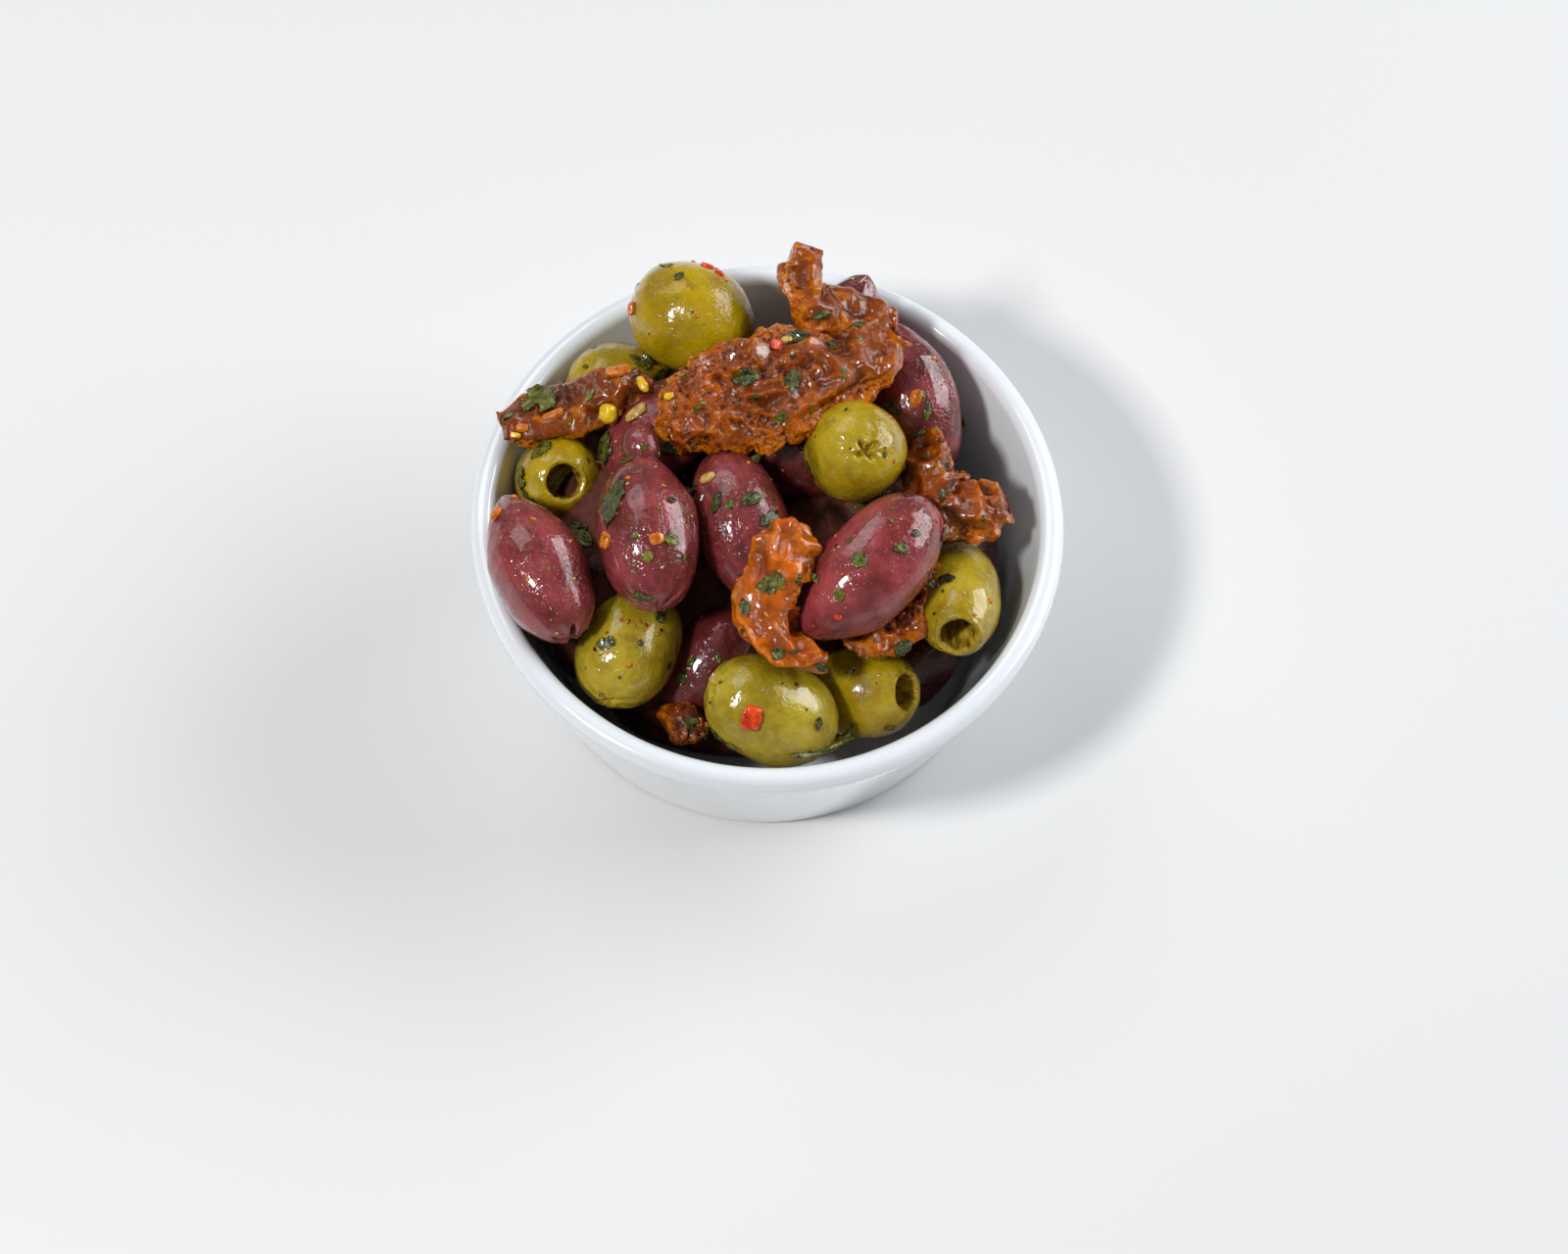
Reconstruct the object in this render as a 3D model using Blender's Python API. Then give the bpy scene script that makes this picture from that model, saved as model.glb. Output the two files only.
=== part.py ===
"""A small white glazed bowl heaped with green and purple olives and sun-dried tomato.

Metres, +Z up. The origin is the centre of the bowl's base, on the surface that it stands on.
Tables are in millimetres and degrees, and mm() turns them into metres.
"""

import math

import bmesh
import bpy
from mathutils import Matrix, Vector, noise

# Bowl, in millimetres
BOWL_SIDES = 64
RIM_RADIUS = 55.0
RIM_HEIGHT = 42.5
RIM_ROUND = 2.3
FOOT_RADIUS = 44.0
FOOT_RING_WIDTH = 5.0
FOOT_RECESS = 1.0
FOOT_BEVEL = 1.0
WALL = 4.4
FLOOR_THICKNESS = 4.6
FLOOR_CORNER = 6.0
FLOOR_CORNER_OUT = 1.2
ARC_STEPS = 5

# Gap that touching solids keep, in millimetres
GAP = 0.35
TINY = 1e-6

# The hidden middle of the heap: balls stretched to the half sizes given after their centres
CORE_LUMPS = [
    (-4.0, 0.0, 20.0, 32.0, 32.0, 14.6),
    (-6.0, 24.0, 27.0, 34.0, 17.0, 19.0),
    (-30.0, -4.0, 28.0, 13.0, 25.0, 18.0),
    (20.0, 12.0, 25.0, 17.0, 21.0, 15.0),
    (2.0, 0.0, 28.0, 26.0, 20.0, 12.0),
    (17.0, -8.0, 31.0, 11.0, 11.0, 11.0),
    (-4.0, -28.0, 18.0, 24.0, 9.0, 12.0),
]
CORE_SIDES = 16

# How finely an olive is drawn
OLIVE_SIDES = 16
OLIVE_RINGS = 9
PIT_SIDES = 12
END_FULLNESS = 2.3
POINT_FULLNESS = 1.9
POINT_SLIMNESS = 0.74

# Olives: centre x, y, z, length, width, and the heading and pitch of the end that was cut or is pointed.
# Headings turn from +X towards +Y, and a positive pitch points up.
GREEN_OLIVES = {
    "back": (-16.4, 37.0, 50.0, 23.6, 20.4, -18, -10),
    "behind_strip": (-28.6, 27.2, 38.4, 23.0, 18.0, 16, -29),
    "left_pitted": (-39.4, 7.0, 39.0, 21.0, 16.6, -72, 57),
    "middle_slit": (15.3, 9.9, 50.6, 22.0, 18.6, -69, 62),
    "front_left": (-24.4, -24.8, 34.6, 24.4, 19.2, -105, 4),
    "front": (2.7, -36.0, 34.6, 27.0, 19.4, 175, 36),
    "front_right_pitted": (19.8, -27.6, 26.8, 21.5, 17.2, -16, 36),
    "right_pitted": (35.8, -12.6, 37.6, 27.0, 16.4, -90, 28),
}
PITTED = {"left_pitted": 3.5, "front_right_pitted": 3.5, "right_pitted": 3.6}
PIT_DEPTH = 9.0
PIT_TAPER = 0.8

PURPLE_OLIVES = {
    "left": (-41.2, -16.0, 47.6, 30.5, 17.4, 119, 6),
    "centre_left": (-21.7, -8.6, 50.4, 31.0, 19.0, 100, 4),
    "centre": (-4.4, -4.6, 45.0, 31.0, 18.0, -69, -14),
    "centre_right": (18.9, -14.0, 49.6, 34.0, 19.0, -131, -12),
    "right": (26.0, 26.6, 42.0, 30.0, 16.5, 111, 25),
    "under_fold": (2.4, 15.0, 40.6, 29.0, 17.0, -24, -14),
    "centre_left_nub": (-24.0, 8.2, 51.8, 9.0, 7.4, 100, 10),
    "front_deep": (-9.6, -23.8, 26.6, 28.0, 16.0, -126, -20),
    "back_tip": (10.8, 39.0, 42.6, 27.0, 15.0, 58, 40),
    "back_left": (-20.6, 15.6, 44.0, 29.0, 17.0, 43, 20),
    "deep_left": (-33.4, -17.4, 25.4, 28.0, 16.0, -47, -36),
    "deep_centre": (-6.5, -5.7, 24.4, 28.0, 16.0, -18, -12),
    "deep_right": (36.4, -1.4, 25.0, 27.0, 15.6, -95, -14),
    "deep_front_right": (29.6, -13.6, 14.8, 27.0, 15.6, 56, 9),
}

# A torn piece of tomato that is small enough to sink in among the olives
TOMATO_SCRAP = [
    (-17.6, -35.0, 27.0, 4.0, 3.0, 0),
    (-13.4, -36.4, 28.0, 8.5, 6.0, 20),
    (-9.2, -37.6, 27.6, 4.0, 3.0, 30),
]

# Larger pieces of tomato, each a row of stations: x, y, z, width, thickness, and the twist of its width
TOMATOES = {
    "tomato_fold": [
        (-18.2, 8.6, 52.0, 6.0, 4.6, 20),
        (-14.8, 13.0, 53.4, 15.0, 7.5, 20),
        (-8.4, 17.6, 54.8, 21.0, 9.0, 14),
        (0.0, 20.4, 55.6, 23.0, 9.5, 6),
        (8.0, 23.2, 56.2, 22.0, 9.5, 0),
        (14.4, 26.4, 56.2, 18.0, 8.5, -8),
        (18.6, 29.4, 55.6, 13.0, 6.5, -12),
        (21.6, 32.2, 55.0, 6.0, 3.6, -12),
    ],
    "tomato_tip": [
        (21.4, 38.4, 51.4, 5.0, 4.0, 0),
        (16.4, 38.6, 52.4, 9.0, 5.5, 0),
        (11.2, 37.6, 53.4, 11.5, 6.5, 10),
        (6.6, 37.4, 55.0, 13.5, 7.5, 30),
        (3.8, 40.0, 57.2, 12.0, 7.5, 60),
        (4.0, 43.6, 59.2, 9.0, 6.5, 60),
        (5.0, 46.6, 60.8, 6.6, 4.6, 60),
    ],
    "tomato_strip": [
        (-50.0, 13.0, 46.0, 7.5, 3.2, 0),
        (-45.0, 14.8, 46.8, 12.0, 4.4, 0),
        (-38.1, 17.0, 48.4, 12.0, 5.0, 8),
        (-32.0, 18.8, 50.2, 10.0, 5.2, 16),
        (-26.6, 20.6, 51.6, 8.0, 4.8, 20),
        (-23.4, 21.8, 52.4, 5.0, 3.4, 20),
    ],
    "tomato_lobes": [
        (28.6, 17.0, 45.6, 5.0, 4.0, 40),
        (29.0, 12.6, 46.4, 9.5, 6.0, 30),
        (29.4, 7.0, 47.0, 13.0, 7.0, 15),
        (32.0, 2.6, 47.0, 15.0, 7.5, 0),
        (37.0, 1.4, 46.2, 14.0, 7.0, -10),
        (41.4, 2.6, 45.2, 11.0, 5.5, -10),
        (44.4, 3.6, 44.4, 6.5, 3.8, -10),
    ],
    "tomato_twist": [
        (4.4, -8.8, 54.4, 7.0, 4.6, 0),
        (3.8, -13.0, 54.8, 12.0, 6.0, -10),
        (2.0, -18.6, 53.2, 11.5, 6.5, 10),
        (1.0, -24.0, 50.6, 12.0, 6.5, -5),
        (3.4, -28.6, 48.2, 11.0, 6.0, -20),
        (8.0, -30.4, 46.8, 8.0, 4.8, -20),
        (12.0, -30.8, 46.0, 4.0, 3.2, -20),
    ],
    "tomato_curl": [
        (14.0, -21.0, 40.6, 4.0, 3.0, 0),
        (18.4, -23.4, 40.6, 7.0, 4.2, 0),
        (24.4, -22.0, 40.8, 8.5, 4.8, 0),
        (28.8, -16.8, 41.8, 7.5, 4.6, 0),
        (30.0, -10.6, 42.8, 4.0, 3.0, 0),
    ],
}
TOMATO_SIDES = 10
TOMATO_STEPS = 3
LOOK_ALONG = 0.05
CREASES = 3
CREASE_SHARE = 0.16
CREASE_TURN = 0.4
WRINKLE_SIZE = 6.0
WRINKLE_SHARE = 0.12

# Herb leaves that show from a step away: x, y where it lies on the heap, length, width, heading
LEAVES = [
    (-28.1, -6.7, 9.0, 4.6, 80),
    (-6.9, -4.4, 6.0, 3.2, 60),
    (1.1, -3.9, 6.6, 3.6, 35),
    (17.5, -17.2, 5.0, 3.4, 60),
    (-42.3, 8.1, 6.0, 4.0, 110),
    (-36.6, -9.0, 6.4, 4.0, 130),
    (31.0, 24.6, 6.0, 3.4, 100),
    (35.6, -11.4, 5.0, 3.4, 20),
    (-18.8, -22.6, 5.0, 3.4, 100),
    (-12.5, -29.1, 5.0, 3.2, 60),
]
LEAF_THICKNESS = 0.6
LEAF_LIFT = 0.15
LEAF_WAVE = 0.2
LEAF_POINT = 0.35

MATERIALS = {
    "glaze": ((0.86, 0.89, 0.93), 0.12),
    "olive_skin": ((0.30, 0.26, 0.05), 0.25),
    "tomato": ((0.42, 0.10, 0.02), 0.3),
}


def mm(*values):
    """Millimetres as metres: one number, or a vector of three."""
    if len(values) == 1:
        return values[0] / 1000
    return Vector(values) / 1000


def clear_scene():
    for obj in list(bpy.data.objects):
        bpy.data.objects.remove(obj, do_unlink=True)


def make_material(name):
    colour, roughness = MATERIALS[name]
    material = bpy.data.materials.new(name)
    material.use_nodes = True
    shader = material.node_tree.nodes["Principled BSDF"]
    shader.inputs["Base Color"].default_value = (*colour, 1.0)
    shader.inputs["Roughness"].default_value = roughness
    shader.inputs["Metallic"].default_value = 0.0
    return material


def to_object(name, mesh_data, material=None):
    """A new object from a bmesh, with its normals facing out."""
    bmesh.ops.recalc_face_normals(mesh_data, faces=mesh_data.faces)
    mesh = bpy.data.meshes.new(name)
    mesh_data.to_mesh(mesh)
    mesh_data.free()
    mesh.shade_smooth()
    obj = bpy.data.objects.new(name, mesh)
    bpy.context.scene.collection.objects.link(obj)
    if material:
        mesh.materials.append(material)
    return obj


def arc(centre, radius, start, end, steps=ARC_STEPS):
    """Points of a round stretch of an outline, angles in degrees."""
    points = []
    for step in range(steps + 1):
        angle = math.radians(start + (end - start) * step / steps)
        points.append((centre[0] + radius * math.cos(angle), centre[1] + radius * math.sin(angle)))
    return points


def turned(name, outline, sides, material=None):
    """A closed solid turned about Z from an outline that starts and ends on the axis."""
    mesh_data = bmesh.new()
    verts = [mesh_data.verts.new(mm(radius, 0, height)) for radius, height in outline]
    edges = [mesh_data.edges.new(pair) for pair in zip(verts, verts[1:])]
    bmesh.ops.spin(mesh_data, geom=verts + edges, axis=(0, 0, 1), cent=(0, 0, 0), angle=math.tau,
                   steps=sides, use_merge=True)
    bmesh.ops.remove_doubles(mesh_data, verts=mesh_data.verts, dist=TINY)
    return to_object(name, mesh_data, material)


def bowl_outline(grow=0.0):
    """The bowl's section from the middle of its underside, round the rim, to the middle of its floor."""
    lean = math.atan2(RIM_RADIUS - FOOT_RADIUS, RIM_HEIGHT)
    tilt = math.degrees(lean)
    rim_centre = (RIM_RADIUS - RIM_ROUND, RIM_HEIGHT - RIM_ROUND)
    inner_foot = FOOT_RADIUS - WALL + FLOOR_THICKNESS * math.tan(lean)
    corner_centre = (inner_foot - FLOOR_CORNER + FLOOR_CORNER_OUT, FLOOR_THICKNESS + FLOOR_CORNER)
    outline = [(0.0, FOOT_RECESS - grow)]
    outline.append((FOOT_RADIUS - FOOT_RING_WIDTH - FOOT_RECESS, FOOT_RECESS - grow))
    outline.append((FOOT_RADIUS - FOOT_RING_WIDTH, -grow))
    outline.append((FOOT_RADIUS - FOOT_BEVEL, -grow))
    outline.append((FOOT_RADIUS + grow, FOOT_BEVEL))
    outline += arc(rim_centre, RIM_ROUND + grow, -tilt, 180 - tilt, ARC_STEPS + 2)
    outline += arc(corner_centre, FLOOR_CORNER - grow, -tilt, -90)
    outline.append((0.0, FLOOR_THICKNESS + grow))
    return outline


def heading(turn, pitch):
    """The turn that points +Z along a heading and a pitch in degrees."""
    return Matrix.Rotation(math.radians(turn), 4, "Z") @ Matrix.Rotation(math.radians(90 - pitch), 4, "Y")


def green_width(along):
    """Share of a green olive's full width at a place from -1 to 1 along it."""
    return (1 - abs(along) ** END_FULLNESS) ** 0.5


def purple_width(along):
    """The same for a purple olive, whose end at 1 is pointed."""
    if along > 0:
        return (1 - along**POINT_FULLNESS) ** POINT_SLIMNESS
    return green_width(along)


def olive(place, width_at, extra=0.0):
    x, y, z, length, width, turn, pitch = place
    mesh_data = bmesh.new()
    bmesh.ops.create_uvsphere(mesh_data, u_segments=OLIVE_SIDES, v_segments=OLIVE_RINGS, radius=1.0)
    for vert in mesh_data.verts:
        along = max(-1.0, min(1.0, vert.co.z))
        ring = math.hypot(vert.co.x, vert.co.y)
        share = width_at(along) / ring if ring > TINY else 0.0
        vert.co.x *= share * mm(width / 2 + extra)
        vert.co.y *= share * mm(width / 2 + extra)
        vert.co.z *= mm(length / 2 + extra)
    bmesh.ops.transform(mesh_data, matrix=Matrix.Translation(mm(x, y, z)) @ heading(turn, pitch),
                        verts=mesh_data.verts)
    return to_object("olive", mesh_data)


def pit_cutter(place, radius):
    """A plug that cuts the stone's hole into an olive from its cut end."""
    x, y, z, length, _, turn, pitch = place
    mesh_data = bmesh.new()
    bmesh.ops.create_cone(mesh_data, cap_ends=True, segments=PIT_SIDES, radius1=mm(radius * PIT_TAPER),
                          radius2=mm(radius), depth=mm(2 * PIT_DEPTH))
    away = Matrix.Translation((0, 0, mm(length / 2)))
    bmesh.ops.transform(mesh_data, matrix=Matrix.Translation(mm(x, y, z)) @ heading(turn, pitch) @ away,
                        verts=mesh_data.verts)
    return to_object("pit", mesh_data)


def core_lump(row, extra=0.0):
    mesh_data = bmesh.new()
    bmesh.ops.create_uvsphere(mesh_data, u_segments=CORE_SIDES, v_segments=CORE_SIDES // 2, radius=1.0)
    bmesh.ops.scale(mesh_data, vec=mm(*(half + extra for half in row[3:])), verts=mesh_data.verts)
    bmesh.ops.translate(mesh_data, vec=mm(*row[:3]), verts=mesh_data.verts)
    return to_object("core", mesh_data)


def smooth_station(stations, where):
    """A station read from a smooth curve through all of them, where counting from the first as 0."""
    index = min(int(where), len(stations) - 2)
    part = where - index
    around = [stations[max(0, min(len(stations) - 1, index + step))] for step in (-1, 0, 1, 2)]
    result = []
    for before, start, end, after in zip(*around):
        slope_in = (end - before) / 2
        slope_out = (after - start) / 2
        result.append(
            (2 * part**3 - 3 * part**2 + 1) * start
            + (part**3 - 2 * part**2 + part) * slope_in
            + (3 * part**2 - 2 * part**3) * end
            + (part**3 - part**2) * slope_out
        )
    return result


def tomato_lump(name, stations, steps=TOMATO_STEPS, sides=TOMATO_SIDES, extra=0.0):
    """A crumpled strip: oval sections along its stations, creased lengthwise and wrinkled all over."""
    mesh_data = bmesh.new()
    rings = []
    count = (len(stations) - 1) * steps
    for step in range(count + 1):
        x, y, z, width, thickness, twist = smooth_station(stations, step / steps)
        ahead = smooth_station(stations, min(step / steps + LOOK_ALONG, len(stations) - 1))
        behind = smooth_station(stations, max(step / steps - LOOK_ALONG, 0))
        forward = (Vector(ahead[:3]) - Vector(behind[:3])).normalized()
        side = forward.cross(Vector((0, 0, 1))).normalized()
        side = Matrix.Rotation(math.radians(twist), 3, forward) @ side
        up = side.cross(forward).normalized()
        ring = []
        for corner in range(sides):
            angle = math.tau * corner / sides
            crease = 1 - CREASE_SHARE * (0.5 + 0.5 * math.cos(CREASES * angle + CREASE_TURN * step))
            offset = side * (width / 2 * math.cos(angle)) + up * (thickness / 2 * math.sin(angle))
            point = Vector((x, y, z)) + offset * crease
            point += offset * WRINKLE_SHARE * noise.noise(point / WRINKLE_SIZE)
            point += offset.normalized() * extra
            ring.append(mesh_data.verts.new(point / 1000))
        rings.append([mesh_data.edges.new(pair) for pair in zip(ring, ring[1:] + ring[:1])])
    for ring, following in zip(rings, rings[1:]):
        bmesh.ops.bridge_loops(mesh_data, edges=ring + following)
    bmesh.ops.holes_fill(mesh_data, edges=mesh_data.edges)
    bmesh.ops.triangulate(mesh_data, faces=mesh_data.faces)
    return to_object(name, mesh_data)


def olive_top(x, y):
    """The highest point of the olives over a place, with the way that it faces, in millimetres."""
    best = None
    for place in [*GREEN_OLIVES.values(), *PURPLE_OLIVES.values()]:
        centre = Vector(place[:3])
        axis = heading(place[5], place[6]).to_3x3() @ Vector((0, 0, 1))
        half, across = place[3] / 2, place[4] / 2
        # Squash space along the olive's axis until it is a ball, then drop a line onto it.
        stretch = Matrix.Scale(1 / across, 3) @ Matrix.Scale(across / half, 3, axis)
        start = stretch @ (Vector((x, y, 0)) - centre)
        down = stretch @ Vector((0, 0, 1))
        a, b, c = down.dot(down), 2 * start.dot(down), start.dot(start) - 1
        if b * b < 4 * a * c:
            continue
        height = (-b + math.sqrt(b * b - 4 * a * c)) / (2 * a)
        if best is None or height > best[0].z:
            point = Vector((x, y, height))
            best = (point, (stretch.transposed() @ stretch @ (point - centre)).normalized())
    return best


def leaf(row, extra=0.0):
    """A thin wavy pointed leaf pressed onto the olive under it."""
    x, y, length, width, turn = row
    point, facing = olive_top(x, y)
    forward = Vector((math.cos(math.radians(turn)), math.sin(math.radians(turn)), 0.0))
    across = facing.cross(forward).normalized()
    frame = Matrix((across.cross(facing), across, facing)).transposed().to_4x4()
    mesh_data = bmesh.new()
    bmesh.ops.create_uvsphere(mesh_data, u_segments=8, v_segments=4, radius=1.0)
    for vert in mesh_data.verts:
        unit = vert.co.copy()
        vert.co.x = mm(unit.x * (length / 2 + extra))
        vert.co.y = mm(unit.y * (width / 2 + extra) * (1 - LEAF_POINT * unit.x))
        wave = LEAF_WAVE * math.sin(3 * unit.x + unit.y)
        vert.co.z = mm(unit.z * (LEAF_THICKNESS + extra) + LEAF_LIFT + wave)
    bmesh.ops.transform(mesh_data, matrix=Matrix.Translation(point / 1000) @ frame, verts=mesh_data.verts)
    return to_object("leaf", mesh_data)


def boolean(target, operation, others, solver="MANIFOLD"):
    """Joins or cuts target with the other objects, applies it, and removes them."""
    group = bpy.data.collections.new("others")
    bpy.context.scene.collection.children.link(group)
    for other in others:
        bpy.context.scene.collection.objects.unlink(other)
        group.objects.link(other)
    modifier = target.modifiers.new("Join", "BOOLEAN")
    modifier.operation = operation
    modifier.operand_type = "COLLECTION"
    modifier.collection = group
    modifier.solver = solver
    bpy.context.view_layer.update()
    with bpy.context.temp_override(object=target):
        bpy.ops.object.modifier_apply(modifier=modifier.name)
    for other in list(group.objects):
        bpy.data.objects.remove(other, do_unlink=True)
    bpy.data.collections.remove(group)
    return target


def swollen_bowl():
    """The bowl grown by the gap, to cut what lies against it."""
    return turned("swollen_bowl", bowl_outline(GAP), BOWL_SIDES)


def swollen_heap():
    """The same for the olives, the leaves on them and the middle under them."""
    pieces = [core_lump(row, GAP) for row in CORE_LUMPS]
    pieces += [olive(place, green_width, GAP) for place in GREEN_OLIVES.values()]
    pieces += [olive(place, purple_width, GAP) for place in PURPLE_OLIVES.values()]
    return pieces + [leaf(row, GAP) for row in LEAVES]


def keep_largest(obj):
    """Drops loose scraps and fills hollows that a Boolean sealed off: only the largest shell stays."""
    mesh_data = bmesh.new()
    mesh_data.from_mesh(obj.data)
    left = set(mesh_data.faces)
    shells = []
    while left:
        shell = set()
        spreading = [left.pop()]
        while spreading:
            face = spreading.pop()
            shell.add(face)
            for edge in face.edges:
                for other in edge.link_faces:
                    if other in left:
                        left.remove(other)
                        spreading.append(other)
        shells.append(shell)
    shells.sort(key=lambda shell: sum(face.calc_area() for face in shell))
    for shell in shells[:-1]:
        bmesh.ops.delete(mesh_data, geom=list(shell), context="FACES")
    mesh_data.to_mesh(obj.data)
    mesh_data.free()


def build_bowl():
    turned("bowl", bowl_outline(), BOWL_SIDES, make_material("glaze"))


def build_olives():
    """The heap: a hidden core with every olive that shows, a scrap of tomato and the larger leaves."""
    heap, *pieces = [core_lump(row) for row in CORE_LUMPS]
    heap.name = "olives"
    heap.data.materials.append(make_material("olive_skin"))
    pieces += [olive(place, purple_width) for place in PURPLE_OLIVES.values()]
    pieces += [olive(place, green_width) for place in GREEN_OLIVES.values()]
    pieces.append(tomato_lump("scrap", TOMATO_SCRAP, steps=3, sides=8))
    pieces += [leaf(row) for row in LEAVES]
    boolean(heap, "UNION", pieces)
    cutters = [pit_cutter(GREEN_OLIVES[name], radius) for name, radius in PITTED.items()]
    boolean(heap, "DIFFERENCE", cutters)
    boolean(heap, "DIFFERENCE", [swollen_bowl()])
    keep_largest(heap)


def build_tomatoes():
    """Each piece lies on the heap, and on those made before it where they meet."""
    material = make_material("tomato")
    earlier = []
    for name, stations in TOMATOES.items():
        lump = tomato_lump(name, stations)
        lump.data.materials.append(material)
        swollen = [tomato_lump("swollen", other, extra=2 * GAP) for other in earlier]
        boolean(lump, "DIFFERENCE", [*swollen_heap(), swollen_bowl(), *swollen])
        keep_largest(lump)
        earlier.append(stations)


clear_scene()
build_bowl()
build_olives()
build_tomatoes()
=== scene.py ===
"""A small white glazed bowl heaped with green and purple olives, torn sun-dried tomato, herbs and oil.

Metres, +Z up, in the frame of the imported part. Tables are in millimetres and degrees.
"""

import math
import random

import bmesh
import bpy
from mathutils import Matrix, Vector, noise
from mathutils.bvhtree import BVHTree


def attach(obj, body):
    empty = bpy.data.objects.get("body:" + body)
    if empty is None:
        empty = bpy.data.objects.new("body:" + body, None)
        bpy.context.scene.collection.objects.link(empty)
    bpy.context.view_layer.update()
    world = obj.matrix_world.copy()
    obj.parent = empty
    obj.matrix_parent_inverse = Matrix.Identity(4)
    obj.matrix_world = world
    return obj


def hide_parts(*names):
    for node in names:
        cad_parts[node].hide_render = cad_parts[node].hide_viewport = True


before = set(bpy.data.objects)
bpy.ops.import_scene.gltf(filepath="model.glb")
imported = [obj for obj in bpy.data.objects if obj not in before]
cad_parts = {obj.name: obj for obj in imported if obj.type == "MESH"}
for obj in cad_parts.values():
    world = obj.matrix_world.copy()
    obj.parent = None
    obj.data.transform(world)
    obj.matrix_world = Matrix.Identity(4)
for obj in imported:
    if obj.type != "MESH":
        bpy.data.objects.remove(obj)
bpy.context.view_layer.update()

MM = 0.001
TINY = 1e-4

# Photograph and camera
PHOTO_WIDTH = 1600
PHOTO_HEIGHT = 1280
FOCAL_PIXELS = 3657
SENSOR = 36.0
CAMERA_ELEVATION = 63.83
CAMERA_ROLL = 3.2
CAMERA_DISTANCE = 0.7
CAMERA_TARGET = (0.0041, -0.002, 0.0)

# Bowl
BOWL_SIDES = 192
RIM_RADIUS = 54.95
RIM_HEIGHT = 42.5
RIM_ROUND = 2.3
FOOT_RADIUS = 44.0
FOOT_RING_WIDTH = 5.0
FOOT_RECESS = 1.0
FOOT_BEVEL = 1.0
WALL = 4.4
FLOOR_THICKNESS = 4.6
FLOOR_CORNER = 6.0
FLOOR_CORNER_OUT = 1.2

# The hidden middle of the heap: centres and half sizes
CORE_LUMPS = [
    (-4, 0, 20, 32, 32, 14.6),
    (-6, 24, 27, 34, 17, 19),
    (-30, -4, 28, 13, 25, 18),
    (20, 12, 25, 17, 21, 15),
    (2, 0, 28, 26, 20, 12),
    (17, -8, 31, 11, 11, 11),
    (-4, -28, 18, 24, 9, 12),
]

# Olives: centre x, y, z, length, width, heading and pitch of the end that was cut or is pointed, and how ripe
# the skin looks, from golden to khaki or from dark to rosy
GREEN_OLIVES = {
    "back": (-16.4, 37, 50, 23.6, 20.4, -18, -10, 0.05),
    "behind_strip": (-28.6, 27.2, 38.4, 23, 18, 16, -29, 0.4),
    "left_pitted": (-39.4, 7, 39, 21, 16.6, -72, 57, 0.15),
    "middle_slit": (15.3, 9.9, 50.6, 22, 18.6, -69, 62, 0.35),
    "front_left": (-24.4, -24.8, 34.6, 24.4, 19.2, -105, 4, 0.7),
    "front": (2.7, -36, 34.6, 27, 19.4, 175, 36, 0.85),
    "front_right_pitted": (19.8, -27.6, 26.8, 21.5, 17.2, -16, 36, 0.3),
    "right_pitted": (35.8, -12.6, 37.6, 27, 16.4, -90, 28, 0.6),
}
PURPLE_OLIVES = {
    "left": (-41.2, -16, 47.6, 30.5, 17.4, 119, 6, 0.72),
    "centre_left": (-21.7, -8.6, 50.4, 31, 19, 100, 4, 0.65),
    "centre": (-4.4, -4.6, 45, 31, 18, -69, -14, 0.6),
    "centre_right": (18.9, -14, 49.6, 34, 19, -131, -12, 1.1),
    "right": (26, 26.6, 42, 30, 16.5, 111, 25, 0.6),
    "under_fold": (2.4, 15, 40.6, 29, 17, -24, -14, 0.3),
    "centre_left_nub": (-24, 8.2, 51.8, 9, 7.4, 100, 10, 0.6),
    "front_deep": (-9.6, -23.8, 26.6, 28, 16, -126, -20, 0.4),
    "back_tip": (10.8, 39, 42.6, 27, 15, 58, 40, 0.45),
    "back_left": (-20.6, 15.6, 44, 29, 17, 43, 20, 0.6),
    "deep_left": (-33.4, -17.4, 25.4, 28, 16, -47, -36, 0),
    "deep_centre": (-6.5, -5.7, 24.4, 28, 16, -18, -12, 0),
    "deep_right": (36.4, -1.4, 25, 27, 15.6, -95, -14, 0),
    "deep_front_right": (29.6, -13.6, 14.8, 27, 15.6, 56, 9, 0),
}
END_FULLNESS = 2.3
POINT_FULLNESS = 1.9
POINT_SLIMNESS = 0.74

# Stone holes: radius at the mouth
HOLES = {"left_pitted": 3.3, "front_right_pitted": 3.3, "right_pitted": 3.4}
HOLE_DEPTH = 8.0
HOLE_TAPER = 0.8
LIP = 0.9
# Crossed cuts: turn of the cross, length of an arm, depth, and which end, 1 for the pointed or cut one
SLITS = {
    "middle_slit": (20, 2.6, 1.5, 1),
    "front_left": (35, 2.4, 1.2, 1),
    "front": (0, 2.6, 1.3, 1),
    "left": (10, 3.8, 1.9, -1),
    "centre_left_nub": (30, 0.9, 0.3, 1),
}

SLIT_WIDTH = 0.5
SLIT_WANDER = 0.25
SLIT_LIP_OUT = 1.0
SLIT_LIP_WIDTH = 0.45
SLIT_LIP_HEIGHT = 0.18

# How lumpy the skins are, their dents, and the most that an olive is bent
GREEN_UNEVEN = 0.35
PURPLE_UNEVEN = 0.4
NUB_UNEVEN = 0.12
BROAD_LUMPS = 8
FINE_LUMPS = 1.9
END_WRINKLE = 0.12
GREEN_WRINKLED = 0.6
PURPLE_WRINKLED = 1.0
DENTS = 3
MOST_BENT = 0.35
SKIN_SIDES = 110
SKIN_RINGS = 70
DEEP_SIDES = 48
DEEP_RINGS = 30

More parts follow.
